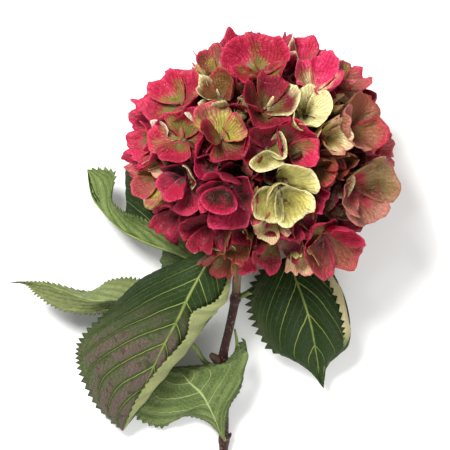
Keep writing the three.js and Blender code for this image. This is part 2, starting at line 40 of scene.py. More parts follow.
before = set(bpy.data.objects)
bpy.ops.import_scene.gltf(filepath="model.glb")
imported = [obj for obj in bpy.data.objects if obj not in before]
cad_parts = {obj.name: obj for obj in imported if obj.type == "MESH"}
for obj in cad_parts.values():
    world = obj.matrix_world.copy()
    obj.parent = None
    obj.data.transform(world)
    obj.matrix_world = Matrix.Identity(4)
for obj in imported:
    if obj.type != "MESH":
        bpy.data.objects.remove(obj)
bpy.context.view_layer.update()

# Lengths are in millimetres up to the point where a mesh is made
MM = 0.001
BODY = "root"

# Nothing comes lower than this over the surface
LEAST_HEIGHT = 0.02


def linear(code):
    """The linear colour of a six-digit sRGB code"""
    parts = [((code >> shift) & 255) / 255 for shift in (16, 8, 0)]
    return tuple(p / 12.92 if p <= 0.04045 else ((p + 0.055) / 1.055) ** 2.4 for p in parts)


def colour_setting(name, description, code):
    """A colour that a user can change"""
    return bpy.props.FloatVectorProperty(
        name=name, description=description, subtype="COLOR", size=3, min=0, max=1, default=linear(code)
    )


def length_setting(name, description, millimetres):
    """A length that a user can change"""
    return bpy.props.FloatProperty(
        name=name, description=description, unit="LENGTH", min=0, default=millimetres * MM, precision=5
    )


def count_setting(name, description, default, least):
    """A whole number that a user can change"""
    return bpy.props.IntProperty(name=name, description=description, min=least, default=default)


class PetalSettings(bpy.types.PropertyGroup):
    """Sizes and colours of the flower head"""

    thickness: length_setting("Thickness", "Thickness of a petal at its middle", 0.55)
    rings: count_setting("Rings", "Rings of faces from the middle of a petal to its rim", 7, 3)
    turns: count_setting("Turns", "Faces round the rim of a petal", 26, 10)
    crimson: colour_setting("Crimson", "Colour of most petals", 0xA81436)
    garnet: colour_setting("Garnet", "Deep colour of the oldest petals", 0x681222)
    rose: colour_setting("Rose", "Light crimson of the rims of most petals", 0xCC2C54)
    pink: colour_setting("Pink", "Bright pink of the youngest petals", 0xCE2E5E)
    blush: colour_setting("Blush", "Pale pink where crimson fades", 0xD07C74)
    cream: colour_setting("Cream", "Palest petals", 0xEDE4A8)
    white: colour_setting("White", "Lone bleached petals", 0xF6EED2)
    lime: colour_setting("Lime", "Yellow-green at the heart of some petals", 0xB5AE4C)
    moss: colour_setting("Moss", "Soft green at the heart of the petals that the light reaches", 0x7A7A34)
    olive: colour_setting("Olive", "Brown-green at the heart of most petals", 0x66622A)
    fawn: colour_setting("Fawn", "Brown-pink of petals that turn old", 0x976A50)
    # Shade is painted shade: a dark green that stands for the shadow between the florets and deep in cupped
    # florets
    shade: colour_setting("Shade", "Dark green between the florets", 0x1C2410)


class LeafSettings(bpy.types.PropertyGroup):
    """Sizes and colours of the leaves"""

    thickness: length_setting("Thickness", "Thickness of a leaf blade", 0.5)
    rows: count_setting("Rows", "Rows of faces for each tooth of the margin", 6, 3)
    columns: count_setting("Columns", "Columns of faces between two rails of a leaf", 12, 2)
    upper: colour_setting("Upper side", "Colour of the upper side", 0x2B4216)
    under: colour_setting("Underside", "Colour of the underside", 0x7C8C4C)
    vein: colour_setting("Vein", "Colour of the veins on the upper side", 0xA0AE58)
    pale_vein: colour_setting("Pale vein", "Colour of the veins on the underside", 0x9DAA6A)
    blush: colour_setting("Blush", "Purple-brown of an ageing leaf", 0x66504E)


class StemSettings(bpy.types.PropertyGroup):
    """Sizes and colours of the stem"""

    sides: count_setting("Sides", "Faces round the stem", 28, 8)
    steps: count_setting("Steps", "Rings of faces along the stem", 320, 40)
    green: colour_setting("Green", "Leafy shoots", 0x5E6E2C)
    young: colour_setting("Young", "Young stem under the head", 0x665640)
    bark: colour_setting("Bark", "Older stem", 0x2A1414)
    wood: colour_setting("Wood", "Pale wood at the cut", 0xD8CFA2)
    spots: count_setting("Spots", "Raised pores on the bark", 260, 0)


class StageSettings(bpy.types.PropertyGroup):
    """The studio"""

    camera_height: length_setting("Camera height", "Height of the camera above the surface", 1170)
    view_width: length_setting("View width", "Width that the camera sees at mid-height of the head", 270)
    key_power: bpy.props.FloatProperty(
        name="Key light", description="Power of the main soft light in watts", min=0, default=20
    )
    floor: colour_setting("Surface", "Colour of the surface", 0xF4F4F2)


# Draws, curves and small sums


class For:
    """What draws are for. Each has its own number, so that no two of them depend on each other."""

    LEAN = (1, 2, 3)
    SINK = 4
    SPAN = 5
    TURN = 6
    RISE = 7
    CUP = 8
    BREADTH = 9
    RUFFLE = 10
    SWING = 11
    RUFFLE_START = 12
    TONE = 13
    NOTCH = 14
    FRILL_START = 15
    FLARE = 16
    PINCH = 17
    CURL = 18
    LOBES = 19
    HEART_REACH = 23
    LIGHT = 24
    BODY_TINT = 25
    RIM_TINT = 26
    OUTSIDE_TINT = 27
    BLEACHING = 28
    EYE_GROWTH = 31
    STALK_SAG = (32, 33, 34)
    PORE_PLACE = 41
    PORE_ANGLE = 42
    PORE_GROWTH = 43
    INNER_TURN = 51
    TOOTH = 61


# Large uneven factors, so that the draws for neighbouring counts have nothing in common
COUNT_FACTOR = 12.9898
PURPOSE_FACTOR = 78.233
WAVE_FACTOR = 43758.5453


def draw(count, purpose):
    """A repeatable draw from 0 to 1 for a count and a purpose"""
    wave = math.sin(count * COUNT_FACTOR + purpose * PURPOSE_FACTOR) * WAVE_FACTOR
    return wave - math.floor(wave)


def drawn(count, purpose, least, spread):
    """A draw from a least value upwards"""
    return least + spread * draw(count, purpose)


def swung(count, purpose, width):
    """A draw that lies as often below zero as above it"""
    return width * (draw(count, purpose) - 0.5)


def vec(*numbers):
    """A point or direction"""
    return np.array(numbers, float)


def unit(directions):
    """Directions with a length of one"""
    lengths = np.linalg.norm(directions, axis=-1, keepdims=True)
    return directions / np.maximum(lengths, 1e-9)


def ease(low, high, value):
    """A smooth step from 0 at low to 1 at high"""
    share = np.clip((value - low) / (high - low), 0, 1)
    return share * share * (3 - 2 * share)


def mixed(first, second, share):
    """Colours or points part of the way from the first to the second"""
    share = np.asarray(share)[..., None]
    return np.asarray(first) * (1 - share) + np.asarray(second) * share


def curve_points(stations, shares):
    """Points of the smooth curve through evenly spaced stations, at shares of its length"""
    stations = np.asarray(stations, float)
    place = np.clip(np.asarray(shares, float), 0, 1) * (len(stations) - 1)
    low = np.minimum(np.floor(place).astype(int), len(stations) - 2)
    t = (place - low)[..., None]
    a, b, c, d = (stations[np.clip(low + k, 0, len(stations) - 1)] for k in (-1, 0, 1, 2))
    bend = (2 * a - 5 * b + 4 * c - d) * t * t + (3 * b - a - 3 * c + d) * t * t * t
    return 0.5 * (2 * b + (c - a) * t + bend)


# The step back and ahead that gives the direction of a path, as a share of its length
PATH_STEP = 0.01


def path_directions(points_at, shares):
    """The directions of a path at shares of its length, from a function that gives its points"""
    return unit(points_at(shares + PATH_STEP) - points_at(shares - PATH_STEP))


# Meshes


def placed(name, data):
    """An object at the origin with this mesh, lamp or camera"""
    made = bpy.data.objects.new(name, data)
    bpy.context.scene.collection.objects.link(made)
    return made


def mesh_piece(name, points, faces, materials):
    """An object at the origin whose mesh has these points in millimetres"""
    mesh = bpy.data.meshes.new(name)
    mesh.from_pydata((np.asarray(points) * MM).tolist(), [], faces)
    for material in materials:
        mesh.materials.append(material)
    mesh.polygons.foreach_set("use_smooth", np.ones(len(mesh.polygons), bool))
    return placed(name, mesh)


def add_colour(mesh, name, colours):
    """A colour for each point, which a material reads by name"""
    values = np.ones((len(colours), 4), np.float32)
    values[:, :3] = colours
    mesh.attributes.new(name, "FLOAT_COLOR", "POINT").data.foreach_set("color", values.ravel())


def add_number(mesh, name, numbers):
    """A number for each point, which a material reads by name"""
    values = np.asarray(numbers, np.float32)
    mesh.attributes.new(name, "FLOAT", "POINT").data.foreach_set("value", values)


def add_map(mesh, name, places):
    """A UV map from one place for each point"""
    corners = np.empty(len(mesh.loops), np.int32)
    mesh.loops.foreach_get("vertex_index", corners)
    mesh.uv_layers.new(name=name).data.foreach_set("uv", places[corners].astype(np.float32).ravel())


def sheet_normals(points, faces):
    """The direction that faces out of a sheet at each of its points"""
    normals = np.zeros_like(points)
    for size in (3, 4):
        corners = np.array([face for face in faces if len(face) == size], int).reshape(-1, size)
        first = points[corners[:, 1]] - points[corners[:, 0]]
        if size == 4:
            first = points[corners[:, 2]] - points[corners[:, 0]]
            second = points[corners[:, 3]] - points[corners[:, 1]]
        else:
            second = points[corners[:, 2]] - points[corners[:, 0]]
        turn = np.cross(first, second)
        for k in range(size):
            np.add.at(normals, corners[:, k], turn)
    return unit(normals)


def both_sides(faces, rim, count):
    """The faces of a closed blade: a sheet, the same sheet turned over, and the wall round its rim"""
    turned = [tuple(corner + count for corner in reversed(face)) for face in faces]
    pairs = zip(rim, rim[1:] + rim[:1])
    wall = [(b, a, a + count, b + count) for a, b in pairs]
    return list(faces) + turned + wall


def grid_faces(rows, columns):
    """The quads of a grid of points that is listed row by row"""
    return [
        (row * columns + k, (row + 1) * columns + k, (row + 1) * columns + k + 1, row * columns + k + 1)
        for row in range(rows - 1)
        for k in range(columns - 1)
    ]


# A path that rises more than this share of its length counts as upright
UPRIGHT = 0.8


def rod(path, radii, sides):
    """Points and faces of a rod of changing radius along a path, closed at both ends"""
    points = []
    across = None
    for i in range(len(path)):
        along = unit(path[min(i + 1, len(path) - 1)] - path[max(i - 1, 0)])
        if across is None:
            across = vec(0, 0, 1) if abs(along[2]) < UPRIGHT else vec(1, 0, 0)
        side = unit(np.cross(along, across))
        across = unit(np.cross(side, along))
        for k in range(sides):
            angle = 2 * math.pi * k / sides
            points.append(path[i] + radii[i] * (side * math.cos(angle) + across * math.sin(angle)))
    faces = []
    for i in range(len(path) - 1):
        for k in range(sides):
            low, next_low = i * sides + k, i * sides + (k + 1) % sides
            faces.append((low, low + sides, next_low + sides, next_low))
    last = (len(path) - 1) * sides
    points += [path[0], path[-1]]
    for k in range(sides):
        faces.append((len(points) - 2, k, (k + 1) % sides))
        faces.append((len(points) - 1, last + (k + 1) % sides, last + k))
    return points, faces


# Geometry node trees for what follows a path or repeats over a surface


def join(tree, *pairs):
    """Links outputs to inputs, which are given in pairs"""
    for start, end in pairs:
        tree.links.new(start, end)


def new_tree(name, inputs):
    """A tree that takes a mesh and named inputs, with its nodes for what comes in and goes out"""
    tree = bpy.data.node_groups.new(name, "GeometryNodeTree")
    tree.interface.new_socket("Geometry", in_out="INPUT", socket_type="NodeSocketGeometry")
    for title, kind in inputs:
        tree.interface.new_socket(title, in_out="INPUT", socket_type=kind)
    tree.interface.new_socket("Geometry", in_out="OUTPUT", socket_type="NodeSocketGeometry")
    return tree, tree.nodes.new("NodeGroupInput"), tree.nodes.new("NodeGroupOutput")


def end_tree(tree, geometry, given, leaving):
    """Turns instances into mesh and gives them their finish, which is how each tree ends"""
    realize = tree.nodes.new("GeometryNodeRealizeInstances")
    finish = tree.nodes.new("GeometryNodeSetMaterial")
    join(
        tree,
        (geometry, realize.inputs["Geometry"]),
        (realize.outputs["Geometry"], finish.inputs["Geometry"]),
        (given.outputs["Finish"], finish.inputs["Material"]),
        (finish.outputs["Geometry"], leaving.inputs["Geometry"]),
    )


def named_value(tree, name, kind):
    """A node that reads a named attribute of the geometry"""
    reader = tree.nodes.new("GeometryNodeInputNamedAttribute")
    reader.data_type = kind
    reader.inputs["Name"].default_value = name
    return reader.outputs["Attribute"]


def tube_tree():
    """Tubes along the edges of a mesh, as thick as its attribute named radius says"""
    inputs = [("Sides", "NodeSocketInt"), ("Finish", "NodeSocketMaterial")]
    tree, given, leaving = new_tree("Tubes along paths", inputs)
    line = tree.nodes.new("GeometryNodeMeshToCurve")
    ring = tree.nodes.new("GeometryNodeCurvePrimitiveCircle")
    ring.inputs["Radius"].default_value = 1
    sweep = tree.nodes.new("GeometryNodeCurveToMesh")
    sweep.inputs["Fill Caps"].default_value = True
    join(
        tree,
        (given.outputs["Geometry"], line.inputs["Mesh"]),
        (given.outputs["Sides"], ring.inputs["Resolution"]),
        (line.outputs["Curve"], sweep.inputs["Curve"]),
        (ring.outputs["Curve"], sweep.inputs["Profile Curve"]),
        (named_value(tree, "radius", "FLOAT"), sweep.inputs["Scale"]),
    )
    end_tree(tree, sweep.outputs["Mesh"], given, leaving)
    return tree


def button_tree():
    """A small round button on each point, turned to its attribute named outward"""
    inputs = [("Size", "NodeSocketFloat"), ("Height", "NodeSocketFloat"), ("Finish", "NodeSocketMaterial")]
    tree, given, leaving = new_tree("Buttons on points", inputs)
    ball = tree.nodes.new("GeometryNodeMeshIcoSphere")
    ball.inputs["Subdivisions"].default_value = 2
    size = tree.nodes.new("ShaderNodeCombineXYZ")
    place = tree.nodes.new("GeometryNodeInstanceOnPoints")
    turn = tree.nodes.new("FunctionNodeAlignRotationToVector")
    turn.axis = "Z"
    grow = tree.nodes.new("ShaderNodeVectorMath")
    grow.operation = "SCALE"
    smooth = tree.nodes.new("GeometryNodeSetShadeSmooth")
    join(
        tree,
        (given.outputs["Size"], size.inputs["X"]),
        (given.outputs["Size"], size.inputs["Y"]),
        (given.outputs["Height"], size.inputs["Z"]),
        (size.outputs["Vector"], grow.inputs[0]),
        (named_value(tree, "growth", "FLOAT"), grow.inputs["Scale"]),
        (named_value(tree, "outward", "FLOAT_VECTOR"), turn.inputs["Vector"]),
        (ball.outputs["Mesh"], smooth.inputs["Geometry"]),
        (smooth.outputs["Geometry"], place.inputs["Instance"]),
        (given.outputs["Geometry"], place.inputs["Points"]),
        (turn.outputs["Rotation"], place.inputs["Rotation"]),
        (grow.outputs["Vector"], place.inputs["Scale"]),
    )
    end_tree(tree, place.outputs["Instances"], given, leaving)
    return tree


def grown(source, tree, values, name):
    """The plain mesh object that a tree makes from a source object, which is then removed"""
    modifier = source.modifiers.new("Growth", "NODES")
    modifier.node_group = tree
    for item in tree.interface.items_tree:
        if item.in_out == "INPUT" and item.name in values:
            modifier[item.identifier] = values[item.name]
    graph = bpy.context.evaluated_depsgraph_get()
    graph.update()
    mesh = bpy.data.meshes.new_from_object(
        source.evaluated_get(graph), preserve_all_data_layers=True, depsgraph=graph
    )
    mesh.name = name
    bpy.data.objects.remove(source)
    if not mesh.polygons:
        raise RuntimeError(name + " came out of its geometry nodes without faces")
    return placed(name, mesh)


def path_source(paths, radii):
    """A mesh of edges along paths, with the radius of a tube at each point"""
    points = np.vstack(paths)
    edges = []
    start = 0
    for path in paths:
        edges += [(start + i, start + i + 1) for i in range(len(path) - 1)]
        start += len(path)
    mesh = bpy.data.meshes.new("paths")
    mesh.from_pydata((points * MM).tolist(), edges, [])
    add_number(mesh, "radius", np.concatenate(radii) * MM)
    return placed("paths", mesh)


def point_source(points, outward, growth):
    """A mesh of single points, each with a direction and a size"""
    mesh = bpy.data.meshes.new("points")
    mesh.from_pydata((np.asarray(points) * MM).tolist(), [], [])
    directions = mesh.attributes.new("outward", "FLOAT_VECTOR", "POINT")
    directions.data.foreach_set("vector", np.asarray(outward, np.float32).ravel())
    add_number(mesh, "growth", growth)
    return placed("points", mesh)


# Shader nodes

# Where the sockets for colours stand among those of a mix node
MIX_FIRST, MIX_SECOND, MIX_RESULT = 6, 7, 2


class Finish:
    """A material in the making, with short ways to add the nodes that its shader reads"""

    def __init__(self, name):
        self.material = bpy.data.materials.new(name)
        self.material.use_nodes = True
        self.tree = self.material.node_tree
        self.shader = self.tree.nodes["Principled BSDF"]

    def add(self, kind, settings=None, **inputs):
        """A node with these settings, whose named inputs take numbers or other nodes' outputs"""
        node = self.tree.nodes.new(kind)
        for name, value in (settings or {}).items():
            setattr(node, name, value)
        for name, value in inputs.items():
            self.feed(node.inputs[name.replace("_", " ")], value)
        return node

    def feed(self, socket, value):
        """Links an output to a socket, or sets the socket to a number or colour"""
        if isinstance(value, bpy.types.NodeSocket):
            self.tree.links.new(value, socket)
        elif socket.type == "RGBA" and len(value) == 3:
            socket.default_value = (*value, 1)
        else:
            socket.default_value = value

    def sum(self, operation, *values):
        """The result of one sum"""
        node = self.add("ShaderNodeMath", {"operation": operation})
        for socket, value in zip(node.inputs, values):
            self.feed(socket, value)
        return node.outputs[0]

    def plus(self, first, second):
        """One value added to another"""
        return self.sum("ADD", first, second)

    def less(self, first, second):
        """One value less another"""
        return self.sum("SUBTRACT", first, second)

    def times(self, first, second):
        """One value times another"""
        return self.sum("MULTIPLY", first, second)

    def most(self, first, second):
        """The larger of two values"""
        return self.sum("MAXIMUM", first, second)

    def apart(self, first, second):
        """How far two values are apart"""
        return self.sum("ABSOLUTE", self.less(first, second))

    def swung(self, value, width):
        """A value from 0 to 1 turned into one that lies as often below zero as above it"""
        return self.times(self.less(value, 0.5), width)

    def fade(self, value, low, high):
        """A smooth step from 0 at low to 1 at high, or from 1 to 0 where low is the larger"""
        start, end = (low, high) if low < high else (high, low)
        ends = (0, 1) if low < high else (1, 0)
        node = self.add("ShaderNodeMapRange", {"interpolation_type": "SMOOTHSTEP"})
        for socket, number in zip(node.inputs, (value, start, end, *ends)):
            self.feed(socket, number)
        return node.outputs[0]

    def blend(self, share, first, second, way="MIX"):
        """One colour over another"""
        node = self.add("ShaderNodeMix", {"data_type": "RGBA", "blend_type": way})
        self.feed(node.inputs[0], share)
        self.feed(node.inputs[MIX_FIRST], first)
        self.feed(node.inputs[MIX_SECOND], second)
        return node.outputs[MIX_RESULT]

    def places(self):
        """Object coordinates"""
        return self.add("ShaderNodeTexCoord").outputs["Object"]

    def noise(self, where, scale, detail=2.0):
        """Cloudy noise"""
        return self.add("ShaderNodeTexNoise", Vector=where, Scale=scale, Detail=detail).outputs["Fac"]

    def cells(self, where, scale):
        """Distance from the borders of small cells"""
        settings = {"feature": "DISTANCE_TO_EDGE"}
        return self.add("ShaderNodeTexVoronoi", settings, Vector=where, Scale=scale).outputs["Distance"]

    def map_place(self, name):
        """The two numbers of a UV map"""
        node = self.add("ShaderNodeUVMap", {"uv_map": name})
        parts = self.add("ShaderNodeSeparateXYZ", Vector=node.outputs["UV"])
        return parts.outputs["X"], parts.outputs["Y"]

    def colours(self, name):
        """The colours that the mesh has under a name"""
        return self.add("ShaderNodeAttribute", {"attribute_name": name}).outputs["Color"]

    def numbers(self, name):
        """The numbers that the mesh has under a name"""
        return self.add("ShaderNodeAttribute", {"attribute_name": name}).outputs["Fac"]

    def relief(self, height, distance):
        """Bumps from a height, whose unit is this distance in metres"""
        node = self.add("ShaderNodeBump", Height=height, Distance=distance, Strength=1.0)
        self.feed(self.shader.inputs["Normal"], node.outputs["Normal"])

    def surface(self, **values):
        """What the shader's own inputs take: numbers and colours, or the outputs of nodes"""
        for name, value in values.items():
            self.feed(self.shader.inputs[name.replace("_", " ")], value)


# Petals. Scales of noise count its waves in a metre, shares say how strongly one thing shows over
# another, edges are the values from and to which it fades in, and reliefs are in metres.
PETAL_VEIN_COLOUR = linear(0x6E1626)
FRECKLE_COLOUR = linear(0x9A4A4A)
PETAL_PAINTED_SHADE_COLOUR = linear(0x4A481E)
MAIN_VEIN_EDGES = (0.3, 1)
PETAL_NET_EDGES = (0.2, 0.02)
HEART_EDGES = (-0.22, 0.3)
RIM_EDGES = (0.6, 1.1)
FRECKLE_EDGES = (0.55, 0.8)
PETAL_RELIEF = 0.0004
PETAL_GRAIN = 420
PETAL_CLOUDS = 110
PETAL_FOLDS = 190
PETAL_FOLD_DEPTH = 3
PETAL_NET = 650
PETAL_NET_SHARE = 0.55
FAN_FOOT = 0.12
FAN_STRANDS = 40
FAN_WAVER = 0.5
VEIN_BLEED = 0.16
VEIN_SHARE = 0.34
FRECKLE_SHARE = 0.75
HEART_WAVER = 1.1
RIM_WAVER = 0.45
PAINTED_DEPTH_SHADE = 0.75


def petal_finish():
    """Satin petal: three colours from the mesh, which run into each other along veins that fan out,
    darkened by painted shade where the petals lie deep in the head
    """
    finish = Finish("petal")
    across, along = finish.map_place("petal")
    where = finish.places()
    fine = finish.noise(where, PETAL_GRAIN, 3.0)
    cloud = finish.noise(where, PETAL_CLOUDS)
    fan = finish.sum("ARCTAN2", across, finish.plus(along, FAN_FOOT))
    wavering = finish.plus(fan, finish.swung(cloud, FAN_WAVER))
    main_vein = finish.fade(finish.sum("SINE", finish.times(wavering, FAN_STRANDS)), *MAIN_VEIN_EDGES)
    net = finish.fade(finish.cells(where, PETAL_NET), *PETAL_NET_EDGES)
    vein = finish.most(main_vein, finish.times(net, PETAL_NET_SHARE))
    uneven = finish.swung(cloud, HEART_WAVER)
    heart_edge = finish.plus(along, finish.plus(uneven, finish.times(vein, VEIN_BLEED)))
    past_heart = finish.fade(finish.less(heart_edge, finish.numbers("reach")), *HEART_EDGES)
    inner = finish.blend(past_heart, finish.colours("heart"), finish.colours("body"))
    rim_edge = finish.plus(finish.numbers("ring"), finish.times(uneven, RIM_WAVER))
    colour = finish.blend(finish.fade(rim_edge, *RIM_EDGES), inner, finish.colours("rim"))
    veined = finish.blend(finish.times(vein, VEIN_SHARE), colour, PETAL_VEIN_COLOUR)
    freckles = finish.fade(fine, *FRECKLE_EDGES)
    freckled = finish.blend(freckles, veined, FRECKLE_COLOUR, "MULTIPLY")
    flesh = finish.blend(FRECKLE_SHARE, veined, freckled)
    # Painted shade: the colour turns darker and greener the deeper a point lies in the head
    deep = finish.times(finish.numbers("depth"), PAINTED_DEPTH_SHADE)
    soft = finish.times(finish.noise(where, PETAL_FOLDS), PETAL_FOLD_DEPTH)
    finish.relief(finish.plus(soft, finish.less(fine, vein)), PETAL_RELIEF)
    finish.surface(
        Base_Color=finish.blend(deep, flesh, PETAL_PAINTED_SHADE_COLOUR, "MULTIPLY"),
        Roughness=finish.plus(0.36, finish.times(fine, 0.2)),
        Specular_IOR_Level=0.35,
        Subsurface_Weight=0.1,
        Subsurface_Radius=(0.004, 0.0016, 0.0012),
        Subsurface_Scale=0.5,
    )
    return finish.material


# Eyes, stalks, pores and the middle of the head, each with its two colours; the dark colours of the middle
# are painted shade
EYE_COLOURS = (linear(0x3E1A22), linear(0x6A6A30))
FLOWER_STALK_COLOURS = (linear(0x6B7A3A), linear(0x8C4A4A))
LEAF_STALK_COLOURS = (linear(0x566A2C), linear(0x76803E))
PORE_COLOURS = (linear(0x6E4C3E), linear(0x947A5E))
SHADE_COLOUR = linear(0x3A3A18)
FIRM_CLOUDS = 180
FIRM_CLOUD_EDGES = (0.35, 0.65)
FIRM_GRAIN = 1500
FIRM_RELIEF = 0.0002


def firm_finish(name, low, high):
    """A small firm part with two soft colours"""
    finish = Finish(name)
    where = finish.places()
    tint = finish.fade(finish.noise(where, FIRM_CLOUDS), *FIRM_CLOUD_EDGES)
    finish.relief(finish.noise(where, FIRM_GRAIN), FIRM_RELIEF)
    finish.surface(Base_Color=finish.blend(tint, low, high), Roughness=0.5)
    return finish.material


# Veins of leaves. Widths and edges are shares of the way to the next side vein or to the margin.
VEIN_DRIFT = 45
VEIN_DRIFT_WIDTH = 0.2
SIDE_VEIN_BORDER = 0.478
SIDE_VEIN_TAPER = 0.018
SIDE_VEIN_EDGES = (-0.03, 0.012)
SIDE_VEIN_END_EDGES = (1.0, 0.55)
MIDRIB_WIDTH = 0.03
MIDRIB_TAPER = 0.022
MIDRIB_EDGES = (0.012, -0.015)
BETWEEN_VEINS = 3
BETWEEN_SHARE = 0.4
BETWEEN_EDGES = (0.44, 0.5)
BETWEEN_END_EDGES = (0.6, 0.3)
RUNG_COUNT = 17
RUNG_EDGES = (0.42, 0.5)
RUNG_WANDER = 95
RUNG_WANDER_WIDTH = 2.2
LEAF_NET = 430
LEAF_NET_EDGES = (0.1, 0.02)
FINE_RELIEF_SHARE = 0.4


def leaf_veins(finish):
    """The midrib and side veins of a leaf, the rungs between them, and the finest net.
    Then come the place across the leaf, the way to the nearest side vein, and Object coordinates."""
    across, along = finish.map_place("leaf")
    side = finish.apart(finish.times(across, 2), 1)
    where = finish.places()
    drift = finish.swung(finish.noise(where, VEIN_DRIFT), VEIN_DRIFT_WIDTH)
    phase = finish.sum("FRACT", finish.plus(finish.numbers("veins"), drift))
    away = finish.apart(phase, 0.5)
    narrow = finish.plus(SIDE_VEIN_BORDER, finish.times(side, SIDE_VEIN_TAPER))
    side_vein = finish.fade(finish.less(away, narrow), *SIDE_VEIN_EDGES)
    fading = finish.times(side_vein, finish.fade(side, *SIDE_VEIN_END_EDGES))
    between = finish.apart(finish.sum("FRACT", finish.times(phase, BETWEEN_VEINS)), 0.5)
    young = finish.times(finish.fade(along, *BETWEEN_END_EDGES), BETWEEN_SHARE)
    fine_vein = finish.times(finish.fade(between, *BETWEEN_EDGES), young)
    wide = finish.less(MIDRIB_WIDTH, finish.times(along, MIDRIB_TAPER))
    midrib = finish.fade(finish.less(side, wide), *MIDRIB_EDGES)
    ribs = finish.most(midrib, finish.most(fading, fine_vein))
    wander = finish.times(finish.noise(where, RUNG_WANDER), RUNG_WANDER_WIDTH)
    rung = finish.apart(finish.sum("FRACT", finish.plus(finish.times(side, RUNG_COUNT), wander)), 0.5)
    rungs = finish.fade(rung, *RUNG_EDGES)
    net = finish.fade(finish.cells(where, LEAF_NET), *LEAF_NET_EDGES)
    return ribs, rungs, net, side, away, where


# The upper side of leaves
DARK_GREEN = linear(0x24370F)
MARGIN_GREEN = linear(0x46582A)
PAINTED_SHADE_GREEN = linear(0x142A08)
WEATHERED_GREEN = linear(0x5E6A40)
CREASE_SHADE_COLOUR = linear(0x1E1A16)
UPPER_NET_COLOUR = linear(0x4A5430)
UPPER_RELIEF = 0.001
UPPER_CLOUDS = 60
UPPER_CLOUD_EDGES = (0.3, 0.75)
MARGIN_EDGES = (0.7, 1.0)
UPPER_RIBS = 0.7
UPPER_RUNGS = 0.4
UPPER_NET = 0.2
BLUSH_EDGES = (0.5, 0.24)
BLUSH_PATCHES = 70
BLUSH_PATCH_EDGES = (0.36, 0.56)
BLUSH_LEAST = 0.3
BLUSH_BLEACH = 0.75
BLUSH_OVER_RIBS = 0.3
CREASES = 260
CREASE_EDGES = (0.56, 0.64)
CREASE_SHADE_SHARE = 0.6


def leaf_upper_finish():
    """Dark glossy upper side with yellow-green veins and a purple blush, darkened by painted shade over
    parts of the leaf and in its creases
    """
    settings = bpy.context.scene.hydrangea_leaves
    finish = Finish("leaf_upper_side")
    ribs, rungs, net, side, away, where = leaf_veins(finish)
    clouds = finish.noise(where, UPPER_CLOUDS)
    green = finish.blend(finish.fade(clouds, *UPPER_CLOUD_EDGES), DARK_GREEN, settings.upper)
    bright = finish.blend(finish.fade(side, *MARGIN_EDGES), green, MARGIN_GREEN)
    # Painted shade: a deeper green where the leaf is taken to lie in shade
    painted_shaded = finish.blend(finish.numbers("painted_shade"), bright, PAINTED_SHADE_GREEN)
    blush = finish.times(finish.numbers("blush"), finish.fade(away, *BLUSH_EDGES))
    patches = finish.fade(finish.noise(where, BLUSH_PATCHES, 3.0), *BLUSH_PATCH_EDGES)
    mottles = finish.plus(BLUSH_LEAST, finish.times(patches, 1 - BLUSH_LEAST))
    weathered = finish.blend(finish.times(blush, BLUSH_BLEACH), painted_shaded, WEATHERED_GREEN)
    tinted = finish.blend(finish.times(blush, mottles), weathered, settings.blush)
    # Painted shade in the wrinkles of the blushed part: dark streaks from noise stand in for their shadows
    creases = finish.times(blush, finish.fade(finish.noise(where, CREASES, 4.0), *CREASE_EDGES))
    crease_shaded = finish.blend(finish.times(creases, CREASE_SHADE_SHARE), tinted, CREASE_SHADE_COLOUR)
    fine = finish.most(finish.times(rungs, UPPER_RUNGS), finish.times(net, UPPER_NET))
    netted = finish.blend(fine, crease_shaded, UPPER_NET_COLOUR)
    rib_share = finish.times(ribs, finish.less(UPPER_RIBS, finish.times(blush, BLUSH_OVER_RIBS)))
    lows = finish.most(ribs, finish.times(finish.most(rungs, net), FINE_RELIEF_SHARE))
    finish.relief(finish.less(1, lows), UPPER_RELIEF)
    finish.surface(
        Base_Color=finish.blend(rib_share, netted, settings.vein),
        Roughness=finish.plus(0.42, finish.times(clouds, 0.2)),
        Specular_IOR_Level=0.16,
    )
    return finish.material


# The underside of leaves
UNDER_GREEN = linear(0x52662C)
UNDER_STREAK_GREEN = linear(0x4C5F2A)
UNDER_PAINTED_SHADE_GREEN = linear(0x2C4019)
FADED_AND_PAINTED_LIGHT_COLOUR = linear(0xB3A67C)
UNDER_RIB_COLOUR = linear(0xB4C080)
UNDER_RELIEF = 0.0005
UNDER_CLOUDS = 50
UNDER_CLOUD_EDGES = (0.25, 0.8)
UNDER_STREAK_EDGES = (0.3, 0.05)
UNDER_RIBS = 0.8
UNDER_RUNGS = 0.45
UNDER_NET = 0.22


